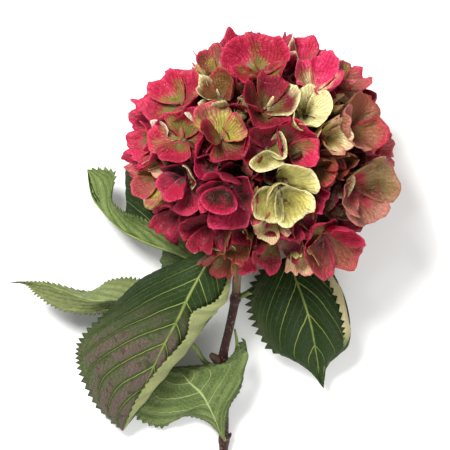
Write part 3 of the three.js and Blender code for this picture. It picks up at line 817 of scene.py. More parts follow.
def leaf_under_finish():
    """Pale dull underside with raised pale veins, darkened by painted shade over parts of it, and paled
    where it fades and by painted light
    """
    settings = bpy.context.scene.hydrangea_leaves
    finish = Finish("leaf_underside")
    ribs, rungs, net, _, away, where = leaf_veins(finish)
    clouds = finish.noise(where, UNDER_CLOUDS)
    green = finish.blend(finish.fade(clouds, *UNDER_CLOUD_EDGES), UNDER_GREEN, settings.under)
    streaked = finish.blend(finish.fade(away, *UNDER_STREAK_EDGES), green, UNDER_STREAK_GREEN)
    # Painted shade: a deeper green where the leaf is taken to lie in shade
    deeper = finish.blend(finish.numbers("painted_shade"), streaked, UNDER_PAINTED_SHADE_GREEN)
    # Fading, and on the far left leaf also painted light, pale the underside towards a light tan
    faded_and_painted_light = finish.blend(finish.numbers("faded_and_painted_light"), deeper, FADED_AND_PAINTED_LIGHT_COLOUR)
    fine = finish.most(finish.times(rungs, UNDER_RUNGS), finish.times(net, UNDER_NET))
    netted = finish.blend(fine, faded_and_painted_light, settings.pale_vein)
    veined = finish.blend(finish.times(ribs, UNDER_RIBS), netted, UNDER_RIB_COLOUR)
    highs = finish.plus(ribs, finish.times(finish.most(rungs, net), FINE_RELIEF_SHARE))
    finish.relief(highs, UNDER_RELIEF)
    finish.surface(Base_Color=veined, Roughness=0.6, Specular_IOR_Level=0.3)
    return finish.material


# Bark
BARK_STREAK_COLOUR = linear(0x46241F)
YOUNG_STREAK_COLOUR = linear(0x8C7A5C)
BARK_STREAK_EDGES = (0.35, 0.7)
YOUNG_STREAK_EDGES = (0.3, 0.8)
FRESH_AGES = (-0.1, -0.3)
WOODY_AGES = (0.25, 0.6)
BARK_RELIEF = 0.0006
STREAKS_AROUND = 9
STREAKS = 9
BARK_MOTTLES = 160
AGE_WAVER = 0.5


def bark_finish():
    """Bark, streaked along the stem: green shoots, a brown-green young stem, dark purple-brown below"""
    settings = bpy.context.scene.hydrangea_stem
    finish = Finish("bark")
    around, along = finish.map_place("stem")
    streak_place = finish.add("ShaderNodeCombineXYZ", X=finish.times(around, STREAKS_AROUND), Y=along)
    streaks = finish.noise(streak_place.outputs[0], STREAKS, 4.0)
    mottled = finish.noise(finish.places(), BARK_MOTTLES)
    bark = finish.blend(finish.fade(streaks, *BARK_STREAK_EDGES), settings.bark, BARK_STREAK_COLOUR)
    age = finish.plus(finish.numbers("age"), finish.swung(mottled, AGE_WAVER))
    young = finish.blend(finish.fade(streaks, *YOUNG_STREAK_EDGES), settings.young, YOUNG_STREAK_COLOUR)
    fresh = finish.blend(finish.fade(age, *FRESH_AGES), young, settings.green)
    coat = finish.blend(finish.fade(age, *WOODY_AGES), fresh, bark)
    finish.relief(finish.plus(streaks, finish.times(mottled, 0.5)), BARK_RELIEF)
    finish.surface(
        Base_Color=finish.blend(finish.numbers("wood"), coat, settings.wood),
        Roughness=0.5,
        Specular_IOR_Level=0.25,
    )
    return finish.material


# The surface under the flower
FLOOR_CLOUDS = 3
FLOOR_CLOUD_COLOUR = (0.93, 0.93, 0.92)


def floor_finish():
    """Pale matt surface with broad soft clouds"""
    finish = Finish("pale_surface")
    settings = bpy.context.scene.hydrangea_stage
    soft = finish.noise(finish.places(), FLOOR_CLOUDS)
    finish.surface(Base_Color=finish.blend(soft, settings.floor, FLOOR_CLOUD_COLOUR), Roughness=0.9)
    return finish.material


# The head

HEAD_CENTRE = vec(0, 0, 62.5)
HEAD_HALF = vec(70, 63, 63.5)

# The middle of the head: its share of the head's size, how much of that its shaded heart fills, and
# the height and number of the heart's coarse and fine lumps
CORE_SHARE = 0.56
HEART_SHARE = 0.97
HEART_LUMPS = (0.09, 9)
HEART_GRAINS = (0.05, 22)

# How deep a floret's middle lies in the head, how freely florets turn away from the head's own
# slope, and the least height of petals and leaves over the surface
FLORET_INSET = 7
FACING_SPREAD = 0.75
SURFACE_LIFT = 0.3

# How far petals lie over or under their neighbours, and how they bend there
OVERLAP_ABOVE = 3.2
OVERLAP_BELOW = -0.4
PRESSED_BACK = 0.75
BEND_LIFT = 0.3
BEND_SOFTNESS = 1.1
BEND_ROUNDS = 2
LEVEL_LEAN = 1.4
SIBLING_OVERLAP = -1.2
SIBLING_BACK = 0.16
SIBLING_LIFT = 0.14
REACH_OF_PLANES = 60

# The uneven folds of a petal: their height, how many cross it, and how far apart in the noise two
# petals take them from
CRUMPLE = 0.18
CRUMPLE_FOLDS = 3.2
CRUMPLE_STEP = 7.3

# The form of a petal one unit long. Pairs are a least value and what a draw adds to it.
PETAL_RISE = (32, 30)
OUTER_PAIR_SINK = 6
PETAL_CUP = (0.09, 0.14)
PETAL_BREADTH = (1.1, 0.18)
PETAL_RUFFLE = (0.08, 0.1)
PETAL_FLARE = 2.5
PETAL_PINCH = 0.4
PETAL_CURL = 1.6
PETAL_SWING = math.radians(14)
PETAL_MIDDLE = 0.53
PETAL_FULLNESS = 1.08
RING_SPACING = 0.85
TIP_BLUNTNESS = 0.03
SHOULDERS = 0.06
FOOT_TAPER = 0.12
NOTCH_DEPTH = 0.02
NOTCH_WIDTH = 0.16
BOWL_HEIGHT = 1.05
BOWL_ROUNDNESS = 1.4
FLARE_FROM = 0.8
CURL_FROM = 0.25
RUFFLE_GROWTH = 2.5
RUFFLE_AT_TIP = 0.5
FRILLS = 7
FRILL_HEIGHT = 0.012
FRILL_GROWTH = 3
FRILL_AT_TIP = 0.4
WHOLE_WAVE = 6.28
RIM_THINNING = 0.6

# How much the colours of petals vary. Pairs are a least value and what a draw adds to it.
PETAL_LIGHT = (0.85, 0.3)
BODY_TINT = 0.5
RIM_TINT = (0.35, 0.65)
HEART_REACH = (0.25, 0.4)
OUTSIDE_TINTS = (0.4, 0.35, 0.6)

# The petals of the head take painted shade from the first of these shares of its size inwards, and take it
# fully at the second
SHADED_FROM = 1.02
SHADED_AT = 0.72

# Lobes and notches of the head's outline: heading in degrees, how much it stands out, how wide
OUTLINE_LOBES = [
    (-8, 0.05, 18),
    (124, -0.28, 14),
    (150, -0.1, 14),
    (175, 0.04, 14),
    (232, -0.09, 18),
    (306, 0.05, 12),
]

# How many petals have a bleached rim, as a share of all
BLEACHED = 0.035

# The ways a floret is coloured: its heart, body and rim, and the outside of its petals. Shade among them is
# painted shade, and so is the whole shade tone.
TONES = {
    "ruby": ("olive", "crimson", "rose", "rose"),
    "garnet": ("garnet", "garnet", "crimson", "garnet"),
    "rose": ("olive", "rose", "rose", "blush"),
    "fading": ("lime", "fawn", "rose", "blush"),
    "bright": ("cream", "pink", "pink", "rose"),
    "pale": ("moss", "cream", "cream", "lime"),
    "deep": ("olive", "garnet", "crimson", "garnet"),
    "dusk": ("shade", "olive", "rose", "garnet"),
    "aged": ("crimson", "fawn", "blush", "fawn"),
    "tawny": ("crimson", "olive", "fawn", "olive"),
    "lit": ("moss", "crimson", "rose", "rose"),
    "cream": ("lime", "cream", "blush", "lime"),
    "lime": ("moss", "lime", "cream", "lime"),
    "white": ("cream", "white", "white", "cream"),
    "olive": ("olive", "olive", "crimson", "olive"),
    "bowl": ("shade", "crimson", "pink", "garnet"),
    "shade": ("shade", "olive", "garnet", "shade"),
}

# How much the florets of the front turn up to the viewer, how much wider they are than their span
# in the list, and how low those at the outline may lie, as a squared share of the head's depth
FRONT_FACING = 0.65
FRONT_FULLNESS = 3
LOWEST_FRONT = 0.07

# Florets seen from the front: x, y, span, turn of the first petal in degrees, sink and tone, and
# for some of them how much they face up and the tone of two of their petals
FRONT_FLORETS = [
    (-1, 46, 46, 50, 0, "lit"),
    (-27, 51, 32, 150, 3, "fading"),
    (-13, 60, 36, 110, 2, "lit"),
    (1, 64, 24, 80, 4, "garnet"),
    (32, 38, 44, 60, 0, "bright"),
    (29, 57, 36, 100, 3, "rose"),
    (54, 42, 34, 40, 3, "fading"),
    (-49, 30, 42, 120, 0, "lit"),
    (-36, 40, 24, 70, 6, "lime"),
    (-67, 27, 32, 150, 3, "ruby"),
    (-65, 6, 40, 190, 1, "ruby"),
    (-46, 7, 40, 250, 0, "lit"),
    (-24, 33, 34, 165, 2, "olive"),
    (-11, 26, 26, 60, 6, "cream"),
    (4, 26, 42, 270, 0, "deep"),
    (3, 0, 38, 90, 1, "garnet", FRONT_FACING, "pale"),
    (-26, -8, 36, 200, 2, "bowl"),
    (27, 22, 38, 200, 1, "pale"),
    (-22, 8, 42, 20, 0, "fading", FRONT_FACING, "deep"),
    (17, 2, 38, 330, 1, "ruby"),
    (42, 8, 34, 85, 2, "cream"),
    (56, 13, 44, 160, 1, "aged", 1.2, "olive"),
    (68, 6, 32, 20, 5, "ruby"),
    (12, -25, 44, 130, 0, "lime"),
    (58, -22, 50, 200, 0, "aged", 2.2, "tawny"),
    (-44, -19, 38, 200, 0, "bowl"),
    (-65, -18, 34, 210, 3, "fading"),
    (-19, -24, 46, 182, 0, "bowl"),
    (1, -29, 36, 250, 4, "fading"),
    (6, -44, 30, 265, 3, "cream"),
    (-54, -40, 36, 235, 4, "garnet"),
    (-32, -46, 40, 260, 1, "garnet"),
    (-13, -54, 40, 280, 3, "olive"),
    (8, -56, 40, 250, 1, "deep"),
    (41, -52, 50, 225, 0, "dusk", 1.4, "ruby"),
    (26, -65, 30, 300, 3, "cream"),
    (30, -27, 34, 110, 6, "bowl"),
    (50, 27, 28, 60, 4, "cream"),
    (35, -10, 32, 30, 5, "olive"),
    (49, -7, 32, 90, 5, "olive"),
    (-7, -12, 32, 150, 5, "fading"),
    (-37, -5, 30, 100, 5, "garnet"),
    (-72, -5, 30, 180, 4, "ruby"),
    (-22, -66, 38, 280, 4, "olive"),
    (-6, -66, 30, 260, 3, "ruby"),
    (17, 52, 30, 100, 5, "garnet"),
    (52, -41, 32, 300, 4, "olive"),
    (-35, -29, 34, 300, 6, "garnet"),
    (-62, -6, 24, 170, 3, "cream"),
    (21, -42, 34, 240, 4, "garnet"),
    (-38, 21, 30, 200, 5, "bowl"),
]

# Single petals: pale ones that stand out between the florets, the round lips of two cupped florets
# and two dark ones deep under the lower edge. Each has x, y, span, turn, sink and tone, and some
# have how much they face up
LONE_PETALS = [
    (-57, 6, 28, 60, -2, "white"),
    (-39, 17, 16, 95, -1, "white"),
    (-21, -62, 26, 95, -1, "pale"),
    (-36, 36, 26, 20, 2, "lime"),
    (-19, -20, 44, 255, -3, "bowl", 1.0),
    (-45, -15, 38, 285, -3, "bowl", 1.0),
    (-30, -50, 48, 268, 14, "garnet"),
    (-12, -48, 48, 270, 14, "deep"),
]

# The petals of a floret, and the index that lone petals count from
PETALS = 4
LONE_START = 900

# Tones of the florets on the other sides, the commoner ones more than once
FILL_TONES = ["ruby", "ruby", "rose", "bowl", "ruby", "fading", "rose", "olive", "garnet", "ruby", "cream"]

# The deeper layer of florets
INNER_FLORETS = 160
INNER_START = 500
INNER_SHARE = 0.79
INNER_SPAN = 38
INNER_FINENESS = 0.6
INNER_TONES = ["shade", "garnet", "olive", "ruby", "shade", "deep"]

# The stem and leaves come out of the head here, so no floret grows there
OPENING = unit(vec(-0.2, -0.9, -0.36))
OPENING_HALF_ANGLE = math.radians(35)
GOLDEN_ANGLE = math.pi * (3 - math.sqrt(5))

# The florets that fill the rest of the head. Those above the side height are seen from the sides.
FILL_SPACING = 21.5
FILL_CANDIDATES = 900
FILL_SINK = 7
FILL_SPAN = (43, 8)
SIDE_HEIGHT = 40

# The floret that the head rests on
RESTING_SPAN = 44
RESTING_TURN = 45

# Below this length a direction laid into the floret's plane is too short to be its first axis
LEAST_AXIS = 0.3

# The eye of a floret, and its stalk with the thickness of its two ends
EYE_LIFT = 1.1
EYE_SIZE = 1.2
EYE_HEIGHT = 1.0
EYE_GROWTH = (0.8, 0.5)
STALK_ROOT = 0.15
STALK_SAG = 4
STALK_ENTRY = 2
STALK_STEPS = 10
STALK_SIDES = 8
STALK_THICKNESS = (1.3, 0.75)


class Floret:
    """A floret's place, size and colours, and the directions in its own plane"""

    def __init__(self, index, centre, span, turn, sink, tone, facing=0.0):
        self.index = index
        self.span = span
        self.sink = sink
        self.turn = math.radians(turn)
        self.tone = tone
        self.other_tone = tone
        self.petals = PETALS
        lean = vec(*(swung(index, purpose, 1) for purpose in For.LEAN)) + vec(0, 0, facing)
        self.out = unit(unit((centre - HEAD_CENTRE) / HEAD_HALF**2) + FACING_SPREAD * lean)
        self.centre = centre - FLORET_INSET * self.out * min(1, centre[2] / FLORET_INSET)
        first = vec(1, 0, 0) - self.out * self.out[0]
        if np.linalg.norm(first) < LEAST_AXIS:
            first = vec(0, 1, 0) - self.out * self.out[1]
        self.first = unit(first)
        self.second = np.cross(self.out, self.first)
        self.around = []

    def axis(self, angle):
        """A direction in the floret's plane"""
        return self.first * math.cos(angle) + self.second * math.sin(angle)


def head_reach(direction):
    """How far the head reaches from its centre in a direction"""
    heading = math.degrees(math.atan2(direction[1], direction[0]))
    flat = math.hypot(direction[0], direction[1])
    share = 1.0
    for at, out, wide in OUTLINE_LOBES:
        turn = (heading - at + 540) % 360 - 180
        share += out * flat * math.exp(-((turn / wide) ** 2))
    return share / np.linalg.norm(direction / HEAD_HALF)


def front_floret(index, x, y, span, turn, sink, tone, facing=FRONT_FACING, other_tone=None):
    """A floret placed as seen from the front"""
    across, along, deep = HEAD_HALF
    height = deep * math.sqrt(max(LOWEST_FRONT, 1 - (x / across) ** 2 - (y / along) ** 2))
    place = vec(x, y, height)
    centre = place - unit(place) * sink + HEAD_CENTRE
    floret = Floret(index, centre, span + FRONT_FULLNESS, turn, sink, tone, facing)
    floret.other_tone = other_tone or tone
    return floret


def spread_directions(count):
    """Numbered directions spread evenly around the head, without those of the opening"""
    for i in range(count):
        height = 1 - (2 * i + 1) / count
        flat = math.sqrt(1 - height * height)
        turn = i * GOLDEN_ANGLE
        direction = vec(flat * math.cos(turn), height, flat * math.sin(turn))
        if math.acos(np.dot(direction, OPENING)) >= OPENING_HALF_ANGLE:
            yield i, direction


def outer_florets():
    """The florets of the front, the one that the head rests on, and those that fill the rest"""
    florets = [front_floret(i, *row) for i, row in enumerate(FRONT_FLORETS)]
    resting = Floret(len(florets), vec(0, 0, SURFACE_LIFT), RESTING_SPAN, RESTING_TURN, 0, "garnet")
    florets.append(resting)
    for i, direction in spread_directions(FILL_CANDIDATES):
        sink = FILL_SINK * draw(i, For.SINK)
        centre = HEAD_CENTRE + direction * (head_reach(direction) - sink)
        centre[2] = max(centre[2], SURFACE_LIFT)
        if any(np.linalg.norm(other.centre - centre) < FILL_SPACING for other in florets):
            continue
        tone = FILL_TONES[int(draw(i, For.TONE) * len(FILL_TONES))]
        span = drawn(i, For.SPAN, *FILL_SPAN)
        florets.append(Floret(len(florets), centre, span, 360 * draw(i, For.TURN), sink, tone))
    return florets


def lone_petals():
    """The single petals between the florets of the front"""
    lone = [front_floret(LONE_START + i, *row) for i, row in enumerate(LONE_PETALS)]
    for floret in lone:
        floret.petals = 1
    return lone


def neighbour_planes(floret, florets):
    """Where a floret meets its neighbours. The higher floret of each two lies over the lower one."""
    planes = []
    for other in florets:
        apart = other.centre - floret.centre
        if other is floret or np.linalg.norm(apart) > REACH_OF_PLANES:
            continue
        share = floret.span / (floret.span + other.span)
        lean = LEVEL_LEAN * (floret.sink * floret.out - other.sink * other.out)
        over = (floret.sink, floret.index) < (other.sink, other.index)
        overlap = OVERLAP_ABOVE if over else OVERLAP_BELOW
        planes.append((floret.centre + apart * share, unit(apart + lean), overlap, PRESSED_BACK, BEND_LIFT))
    return planes


def sibling_planes(floret, which):
    """Where a petal meets the two beside it. The inner pair lies over the outer pair."""
    over = -1 if which % 2 else 1
    own = floret.axis(floret.turn + which * math.pi / 2)
    planes = []
    for side in (-1, 1):
        normal = unit(floret.axis(floret.turn + (which + side) * math.pi / 2) - own)
        planes.append((floret.centre, normal, SIBLING_OVERLAP, SIBLING_BACK, over * SIBLING_LIFT))
    return planes


def bend_clear(points, planes, out):
    """Bends what reaches past a plane back, and up over or down under the petal it meets there"""
    for _ in range(BEND_ROUNDS):
        for place, normal, overlap, back, lift in planes:
            past = (points - place) @ normal - overlap
            past = BEND_SOFTNESS * np.logaddexp(0, past / BEND_SOFTNESS)
            upward = out - normal * np.dot(out, normal)
            points = points + past[:, None] * (lift * upward - back * normal)
    return points


def petal_grid(rings, turns):
    """Ring shares, turns, faces and rim of the sheet that every petal is made from"""
    shares = np.arange(1, rings + 1) / rings
    ring = np.concatenate([[0], np.repeat(shares**RING_SPACING, turns)])
    angle = np.concatenate([[0], np.tile(np.arange(turns) * 2 * math.pi / turns, rings)])
    faces = [(0, 1 + k, 1 + (k + 1) % turns) for k in range(turns)]
    for row in range(rings - 1):
        low = 1 + row * turns
        for k in range(turns):
            after = (k + 1) % turns
            faces.append((low + k, low + turns + k, low + turns + after, low + after))
    rim = [1 + (rings - 1) * turns + k for k in range(turns)]
    return ring, angle, faces, rim


def petal_rim(angle):
    """How far a petal's rim lies from its middle, with broad shoulders and a narrow foot"""
    side, ahead = np.sin(angle), np.cos(angle)
    foot = np.maximum(0, -ahead)
    return 0.5 - TIP_BLUNTNESS * ahead + SHOULDERS * side**2 - FOOT_TAPER * side**2 * foot


def petal_notch(angle, seed):
    """How deep the tip of a petal is notched, which half of them are"""
    from_tip = (angle + math.pi) % (2 * math.pi) - math.pi
    return NOTCH_DEPTH * np.exp(-((from_tip / NOTCH_WIDTH) ** 2)) * (draw(seed, For.NOTCH) > 0.5)


def rim_waves(ring, angle, start, count, height, growth, at_tip):
    """Waves round a petal that grow towards its rim, and more so at its tip"""
    waves = np.sin(count * angle + WHOLE_WAVE * start)
    return height * ring**growth * waves * (1 - at_tip + at_tip * np.cos(angle))


def crumpled(along, across, seed):
    """Soft uneven folds of a petal, about half a unit either way"""
    sheet = CRUMPLE_FOLDS * np.column_stack([along, across, np.zeros(len(along))])
    own = vec(0, 0, CRUMPLE_STEP * seed)
    return np.array([noise.noise(Vector(place + own)) for place in sheet])


def petal_height(along, across, ring, angle, seed, rise):
    """How high a petal's points stand over its floret: a bowl that flares, curls, waves and creases"""
    radius = np.hypot(along, across)
    flare = PETAL_FLARE * draw(seed, For.FLARE) * np.maximum(0, radius - FLARE_FROM) ** 2
    bowl = BOWL_HEIGHT * math.sin(rise) * radius**BOWL_ROUNDNESS - flare
    cup = drawn(seed, For.CUP, *PETAL_CUP) * (ring**2 - 1) * along
    pinch = swung(seed, For.PINCH, PETAL_PINCH) * np.abs(across) * along
    curl = swung(seed, For.CURL, PETAL_CURL)
    curled = curl * np.maximum(0, across * np.sign(curl) - CURL_FROM) ** 2
    lobes = 2 + round(draw(seed, For.LOBES))
    ruffle = drawn(seed, For.RUFFLE, *PETAL_RUFFLE)
    start = draw(seed, For.RUFFLE_START)
    ruffled = rim_waves(ring, angle, start, lobes, ruffle, RUFFLE_GROWTH, RUFFLE_AT_TIP)
    start = draw(seed, For.FRILL_START)
    frill = rim_waves(ring, angle, start, FRILLS, FRILL_HEIGHT, FRILL_GROWTH, FRILL_AT_TIP)
    frill += CRUMPLE * ring * crumpled(along, across, seed)
    return bowl + cup + pinch + curled + ruffled + frill


def petal_points(floret, which, ring, angle):
    """Where a petal's points lie, and how far along and across it they are"""
    length = floret.span / 2
    seed = floret.index * PETALS + which
    rise = math.radians(drawn(seed, For.RISE, *PETAL_RISE) - OUTER_PAIR_SINK * (which % 2))
    rim = petal_rim(angle)
    along = PETAL_MIDDLE + ring * (rim - petal_notch(angle, seed)) * np.cos(angle)
    across = drawn(seed, For.BREADTH, *PETAL_BREADTH) * ring * rim * np.sin(angle)
    height = petal_height(along, across, ring, angle, seed, rise)
    swing = swung(seed, For.SWING, PETAL_SWING)
    forward = floret.axis(floret.turn + which * math.pi / 2 + swing)
    sideways = np.cross(floret.out, forward)
    reach = PETAL_FULLNESS * math.cos(rise) * length
    offsets = [reach * along, reach * across, length * height]
    points = floret.centre + sum(o[:, None] * d for o, d in zip(offsets, (forward, sideways, floret.out)))
    points = bend_clear(points, sibling_planes(floret, which) + floret.around, floret.out)
    points[:, 2] = np.maximum(points[:, 2], SURFACE_LIFT)
    return points, along, across


def painted_shade_depth(points):
    """How much painted shade points take from how deep they lie in the head: 0 at its outside and 1 well
    inside
    """
    away = points - HEAD_CENTRE
    share = np.linalg.norm(away / HEAD_HALF, axis=1)
    return ease(SHADED_FROM, SHADED_AT, share)


def petal_colours(floret, which, count):
    """The heart, body and rim colours of a petal, for the points of its inside and then its outside"""
    settings = bpy.context.scene.hydrangea_petals
    tone = floret.tone if which < 2 else floret.other_tone
    heart, body, rim, outside = (np.array(getattr(settings, name)) for name in TONES[tone])
    seed = floret.index * PETALS + which
    light = drawn(seed, For.LIGHT, *PETAL_LIGHT)
    body = mixed(body, rim, BODY_TINT * draw(seed, For.BODY_TINT))
    rim = mixed(body, rim, drawn(seed, For.RIM_TINT, *RIM_TINT))
    if draw(seed, For.BLEACHING) < BLEACHED:
        rim = np.array(settings.cream)
    heart_tint, body_tint, rim_tint = OUTSIDE_TINTS
    pairs = [
        (heart, mixed(heart, outside, heart_tint)),
        (body, mixed(outside, body, body_tint * draw(seed, For.OUTSIDE_TINT))),
        (rim, mixed(outside, rim, rim_tint)),
    ]
    return [np.clip(np.repeat(pair, count, axis=0) * light, 0, 1) for pair in pairs]


def make_petals(name, florets, material, fineness=1.0):
    """All the petals of some florets as one piece of closed blades"""
    settings = bpy.context.scene.hydrangea_petals
    ring, angle, faces, rim = petal_grid(round(settings.rings * fineness), round(settings.turns * fineness))
    count = len(ring)
    closed = both_sides(faces, rim, count)
    half = settings.thickness / MM / 2 * (1 - RIM_THINNING * ring**4)
    points, colours, places, reaches, all_faces = [], [], [], [], []
    for floret in florets:
        for which in range(floret.petals):
            sheet, along, across = petal_points(floret, which, ring, angle)
            out = sheet_normals(sheet, faces) * half[:, None]
            start = len(points) * 2 * count
            points.append(np.vstack([sheet + out, sheet - out]))
            colours.append(petal_colours(floret, which, count))
            places.append(np.tile(np.column_stack([across, along]), (2, 1)))
            reaches.append(drawn(floret.index * PETALS + which, For.HEART_REACH, *HEART_REACH))
            all_faces += [tuple(corner + start for corner in face) for face in closed]
    whole = np.vstack(points)
    whole[:, 2] = np.maximum(whole[:, 2], LEAST_HEIGHT)
    piece = mesh_piece(name, whole, all_faces, [material])
    for part, values in zip(("heart", "body", "rim"), zip(*colours)):
        add_colour(piece.data, part, np.vstack(values))
    add_number(piece.data, "ring", np.tile(ring, len(points) * 2))
    # The depth attribute carries the painted shade deep in the head
    add_number(piece.data, "depth", painted_shade_depth(whole))
    add_number(piece.data, "reach", np.repeat(reaches, 2 * count))
    add_map(piece.data, "petal", np.vstack(places))
    return piece


def inner_florets():
    """A deeper layer of smaller florets, darker with painted shade, which closes the gaps between the outer
    ones
    """
    florets = []
    for i, direction in spread_directions(INNER_FLORETS):
        centre = HEAD_CENTRE + direction * head_reach(direction) * INNER_SHARE
        tone = INNER_TONES[i % len(INNER_TONES)]
        florets.append(Floret(INNER_START + i, centre, INNER_SPAN, 360 * draw(i, For.INNER_TURN), 0, tone))
    return florets


def make_eyes(florets):
    """The small closed flower in the middle of each floret that is clear of the surface"""
    florets = [f for f in florets if f.centre[2] > 2 * SURFACE_LIFT]
    places = [floret.centre + EYE_LIFT * floret.out for floret in florets]
    growth = [drawn(floret.index, For.EYE_GROWTH, *EYE_GROWTH) for floret in florets]
    source = point_source(places, [floret.out for floret in florets], growth)
    finish = firm_finish("eye", *EYE_COLOURS)
    values = {"Size": EYE_SIZE * MM, "Height": EYE_HEIGHT * MM, "Finish": finish}
    return grown(source, button_tree(), values, "floret_eyes")


def make_flower_stalks(florets):
    """The stalk of each floret, from the middle of the head to its eye"""
    paths, radii = [], []
    for floret in florets:
        root = HEAD_CENTRE + (floret.centre - HEAD_CENTRE) * (CORE_SHARE - STALK_ROOT)
        sag = STALK_SAG * vec(*(swung(floret.index, purpose, 1) for purpose in For.STALK_SAG))
        entry = floret.centre - STALK_ENTRY * floret.out
        stations = [root, (root + floret.centre) / 2 + sag, entry, floret.centre]
        paths.append(curve_points(stations, np.linspace(0, 1, STALK_STEPS)))
        radii.append(np.linspace(*STALK_THICKNESS, STALK_STEPS))
    source = path_source(paths, radii)
    values = {"Sides": STALK_SIDES, "Finish": firm_finish("flower_stalk", *FLOWER_STALK_COLOURS)}
    return grown(source, tube_tree(), values, "flower_stalks")


def make_heart():
    """The middle of the head, where the flower stalks branch, dark with painted shade so that it reads as
    the shadow between the florets
    """
    settings = bpy.context.scene.hydrangea_petals
    built = bmesh.new()
    bmesh.ops.create_icosphere(built, subdivisions=5, radius=1)
    for point in built.verts:
        direction = np.array(point.co)
        lump = 1
        for height, waves in (HEART_LUMPS, HEART_GRAINS):
            lump += height * noise.noise(Vector(direction * waves))
        place = HEAD_CENTRE + direction * head_reach(direction) * CORE_SHARE * HEART_SHARE * lump
        point.co = Vector(place * MM)
    mesh = bpy.data.meshes.new("flower_head_heart")
    for face in built.faces:
        face.smooth = True
    built.to_mesh(mesh)
    built.free()
    mesh.materials.append(firm_finish("head_shade", settings.shade, SHADE_COLOUR))
    return placed("flower_head_heart", mesh)


# The stem

STEM_RADIUS = 2.6
STEM_STATIONS = [
    (-5, -30, 61),
    (-9, -50, 56),
    (-13, -76, 47),
    (-14, -89, 41),
    (-18, -109, 32),
    (-22, -130, 23),
    (-21, -157, 14),
    (-21, -180, 7),
    (-22, -200, 3.6),
    (-24, -219, 2.95),
]
# Where leaves join the stem: share of its length, swelling, reach along it
STEM_NODES = [(3 / 9, 0.9, 0.016), (5 / 9, 1.3, 0.02), (7 / 9, 1.0, 0.02)]

# Buds and stubs at the nodes: share of the stem, steps away from it, radius, and how woody they are
STEM_SHOOTS = [
    (3 / 9, [(2.6, 1.2, 1.8), (3.4, 3, 2.4)], 1.1, 0.9),
    (5 / 9, [(-2.5, 1.5, 1), (-5, 3.4, 2.6), (-7.4, 5.6, 3.8)], 3.1, 0.4),
    (5 / 9, [(5.5, 3, 1.5), (8.6, 7.6, 3.2), (9, 14, 5.4), (7.6, 21.5, 8.2)], 1.25, -0.5),
    (7 / 9, [(3, 1.6, 0.4), (4.4, 4.4, 0.8)], 1.2, 0.9),
]
SHOOT_STEPS = 16
SHOOT_SIDES = 14
SHOOT_TAPER = 0.55

# The slant of the cut, and how far above the stem's lower end it passes
CUT_SLANT = unit(vec(0.25, 1, 0.35))
CUT_INSET = 3

# Height and number of the ridges around the stem and of the ripples along it, how the ripples wind
# round it, how much of both its upper end has, its first share and the length of its map
STEM_RIDGES = (0.12, 6)
STEM_RIPPLES = (0.1, 40)
RIPPLE_WINDING = 9
UPPER_END_RELIEF = 0.3
STEM_START = 0.003
STEM_MAP_LENGTH = 6

# The shares of the stem's length between which it turns woody
STEM_AGEING = (0.1, 0.5)

# Pores: size, height, least place on the stem and growth, and what draws add to them
PORE_SIZE = 0.32
PORE_HEIGHT = 0.22
PORE_PLACES = (0.3, 0.68)
PORE_GROWTH = (0.6, 0.8)


def stem_thickness(shares):
    """The radius of the stem at shares of its length"""
    radius = np.full(len(shares), float(STEM_RADIUS))
    for share, swell, reach in STEM_NODES:
        radius += swell * np.exp(-(((shares - share) / reach) ** 2))
    return radius


def join_bodies(bodies):
    """Points and faces of several bodies as one list of each"""
    points, faces = [], []
    for body_points, body_faces in bodies:
        start = len(points)
        points += list(body_points)
        faces += [tuple(corner + start for corner in face) for face in body_faces]
    return np.array(points), faces


def stem_shoots():
    """The bodies of the buds and shoots, and how woody each of their points is"""
    bodies, ages = [], []
    steps = np.linspace(0, 1, SHOOT_STEPS)
    for share, away, width, woody in STEM_SHOOTS:
        root = curve_points(STEM_STATIONS, vec(share))[0]
        stations = [root, *(root + vec(*step) for step in away)]
        body = rod(curve_points(stations, steps), width * (1 - SHOOT_TAPER * steps**3), SHOOT_SIDES)
        bodies.append(body)
        ages += [woody] * len(body[0])
    return bodies, ages


def make_stem():
    """The woody stem, cut on the slant, with its buds and the stub of a lost leaf stalk"""
    settings = bpy.context.scene.hydrangea_stem
    steps, sides = settings.steps, settings.sides
    shares = np.linspace(STEM_START, 1, steps + 1)
    path = curve_points(STEM_STATIONS, shares)
    points, faces = rod(path, stem_thickness(shares), sides)
    points = np.array(points)
    ring_share = np.append(np.repeat(shares, sides), [shares[0], 1])
    around = np.append(np.tile(np.arange(sides) / sides, steps + 1), [0, 0])
    middle = np.vstack([np.repeat(path, sides, axis=0), path[0], path[-1]])
    ridge_height, ridges = STEM_RIDGES
    ripple_height, ripples = STEM_RIPPLES
    relief = ridge_height * np.cos(ridges * 2 * math.pi * around)
    relief += ripple_height * np.sin(ripples * ring_share + RIPPLE_WINDING * around)
    points += unit(points - middle) * (relief * (UPPER_END_RELIEF + ring_share))[:, None]
    past = np.maximum(CUT_SLANT @ vec(*STEM_STATIONS[-1]) + CUT_INSET - points @ CUT_SLANT, 0)
    points += past[:, None] * CUT_SLANT
    points[:, 2] = np.maximum(points[:, 2], LEAST_HEIGHT)
    shoots, shoot_ages = stem_shoots()
    all_points, all_faces = join_bodies([(points, faces), *shoots])
    piece = mesh_piece("stem_bark", all_points, all_faces, [bark_finish()])
    at_cut = (past > 0).astype(float)
    on_shoots = len(shoot_ages)
    add_number(piece.data, "age", np.concatenate([ease(*STEM_AGEING, ring_share), shoot_ages]))
    add_number(piece.data, "wood", np.concatenate([at_cut, np.zeros(on_shoots)]))
    places = np.column_stack([around, ring_share * STEM_MAP_LENGTH])
    add_map(piece.data, "stem", np.vstack([places, np.zeros((on_shoots, 2))]))
    return piece


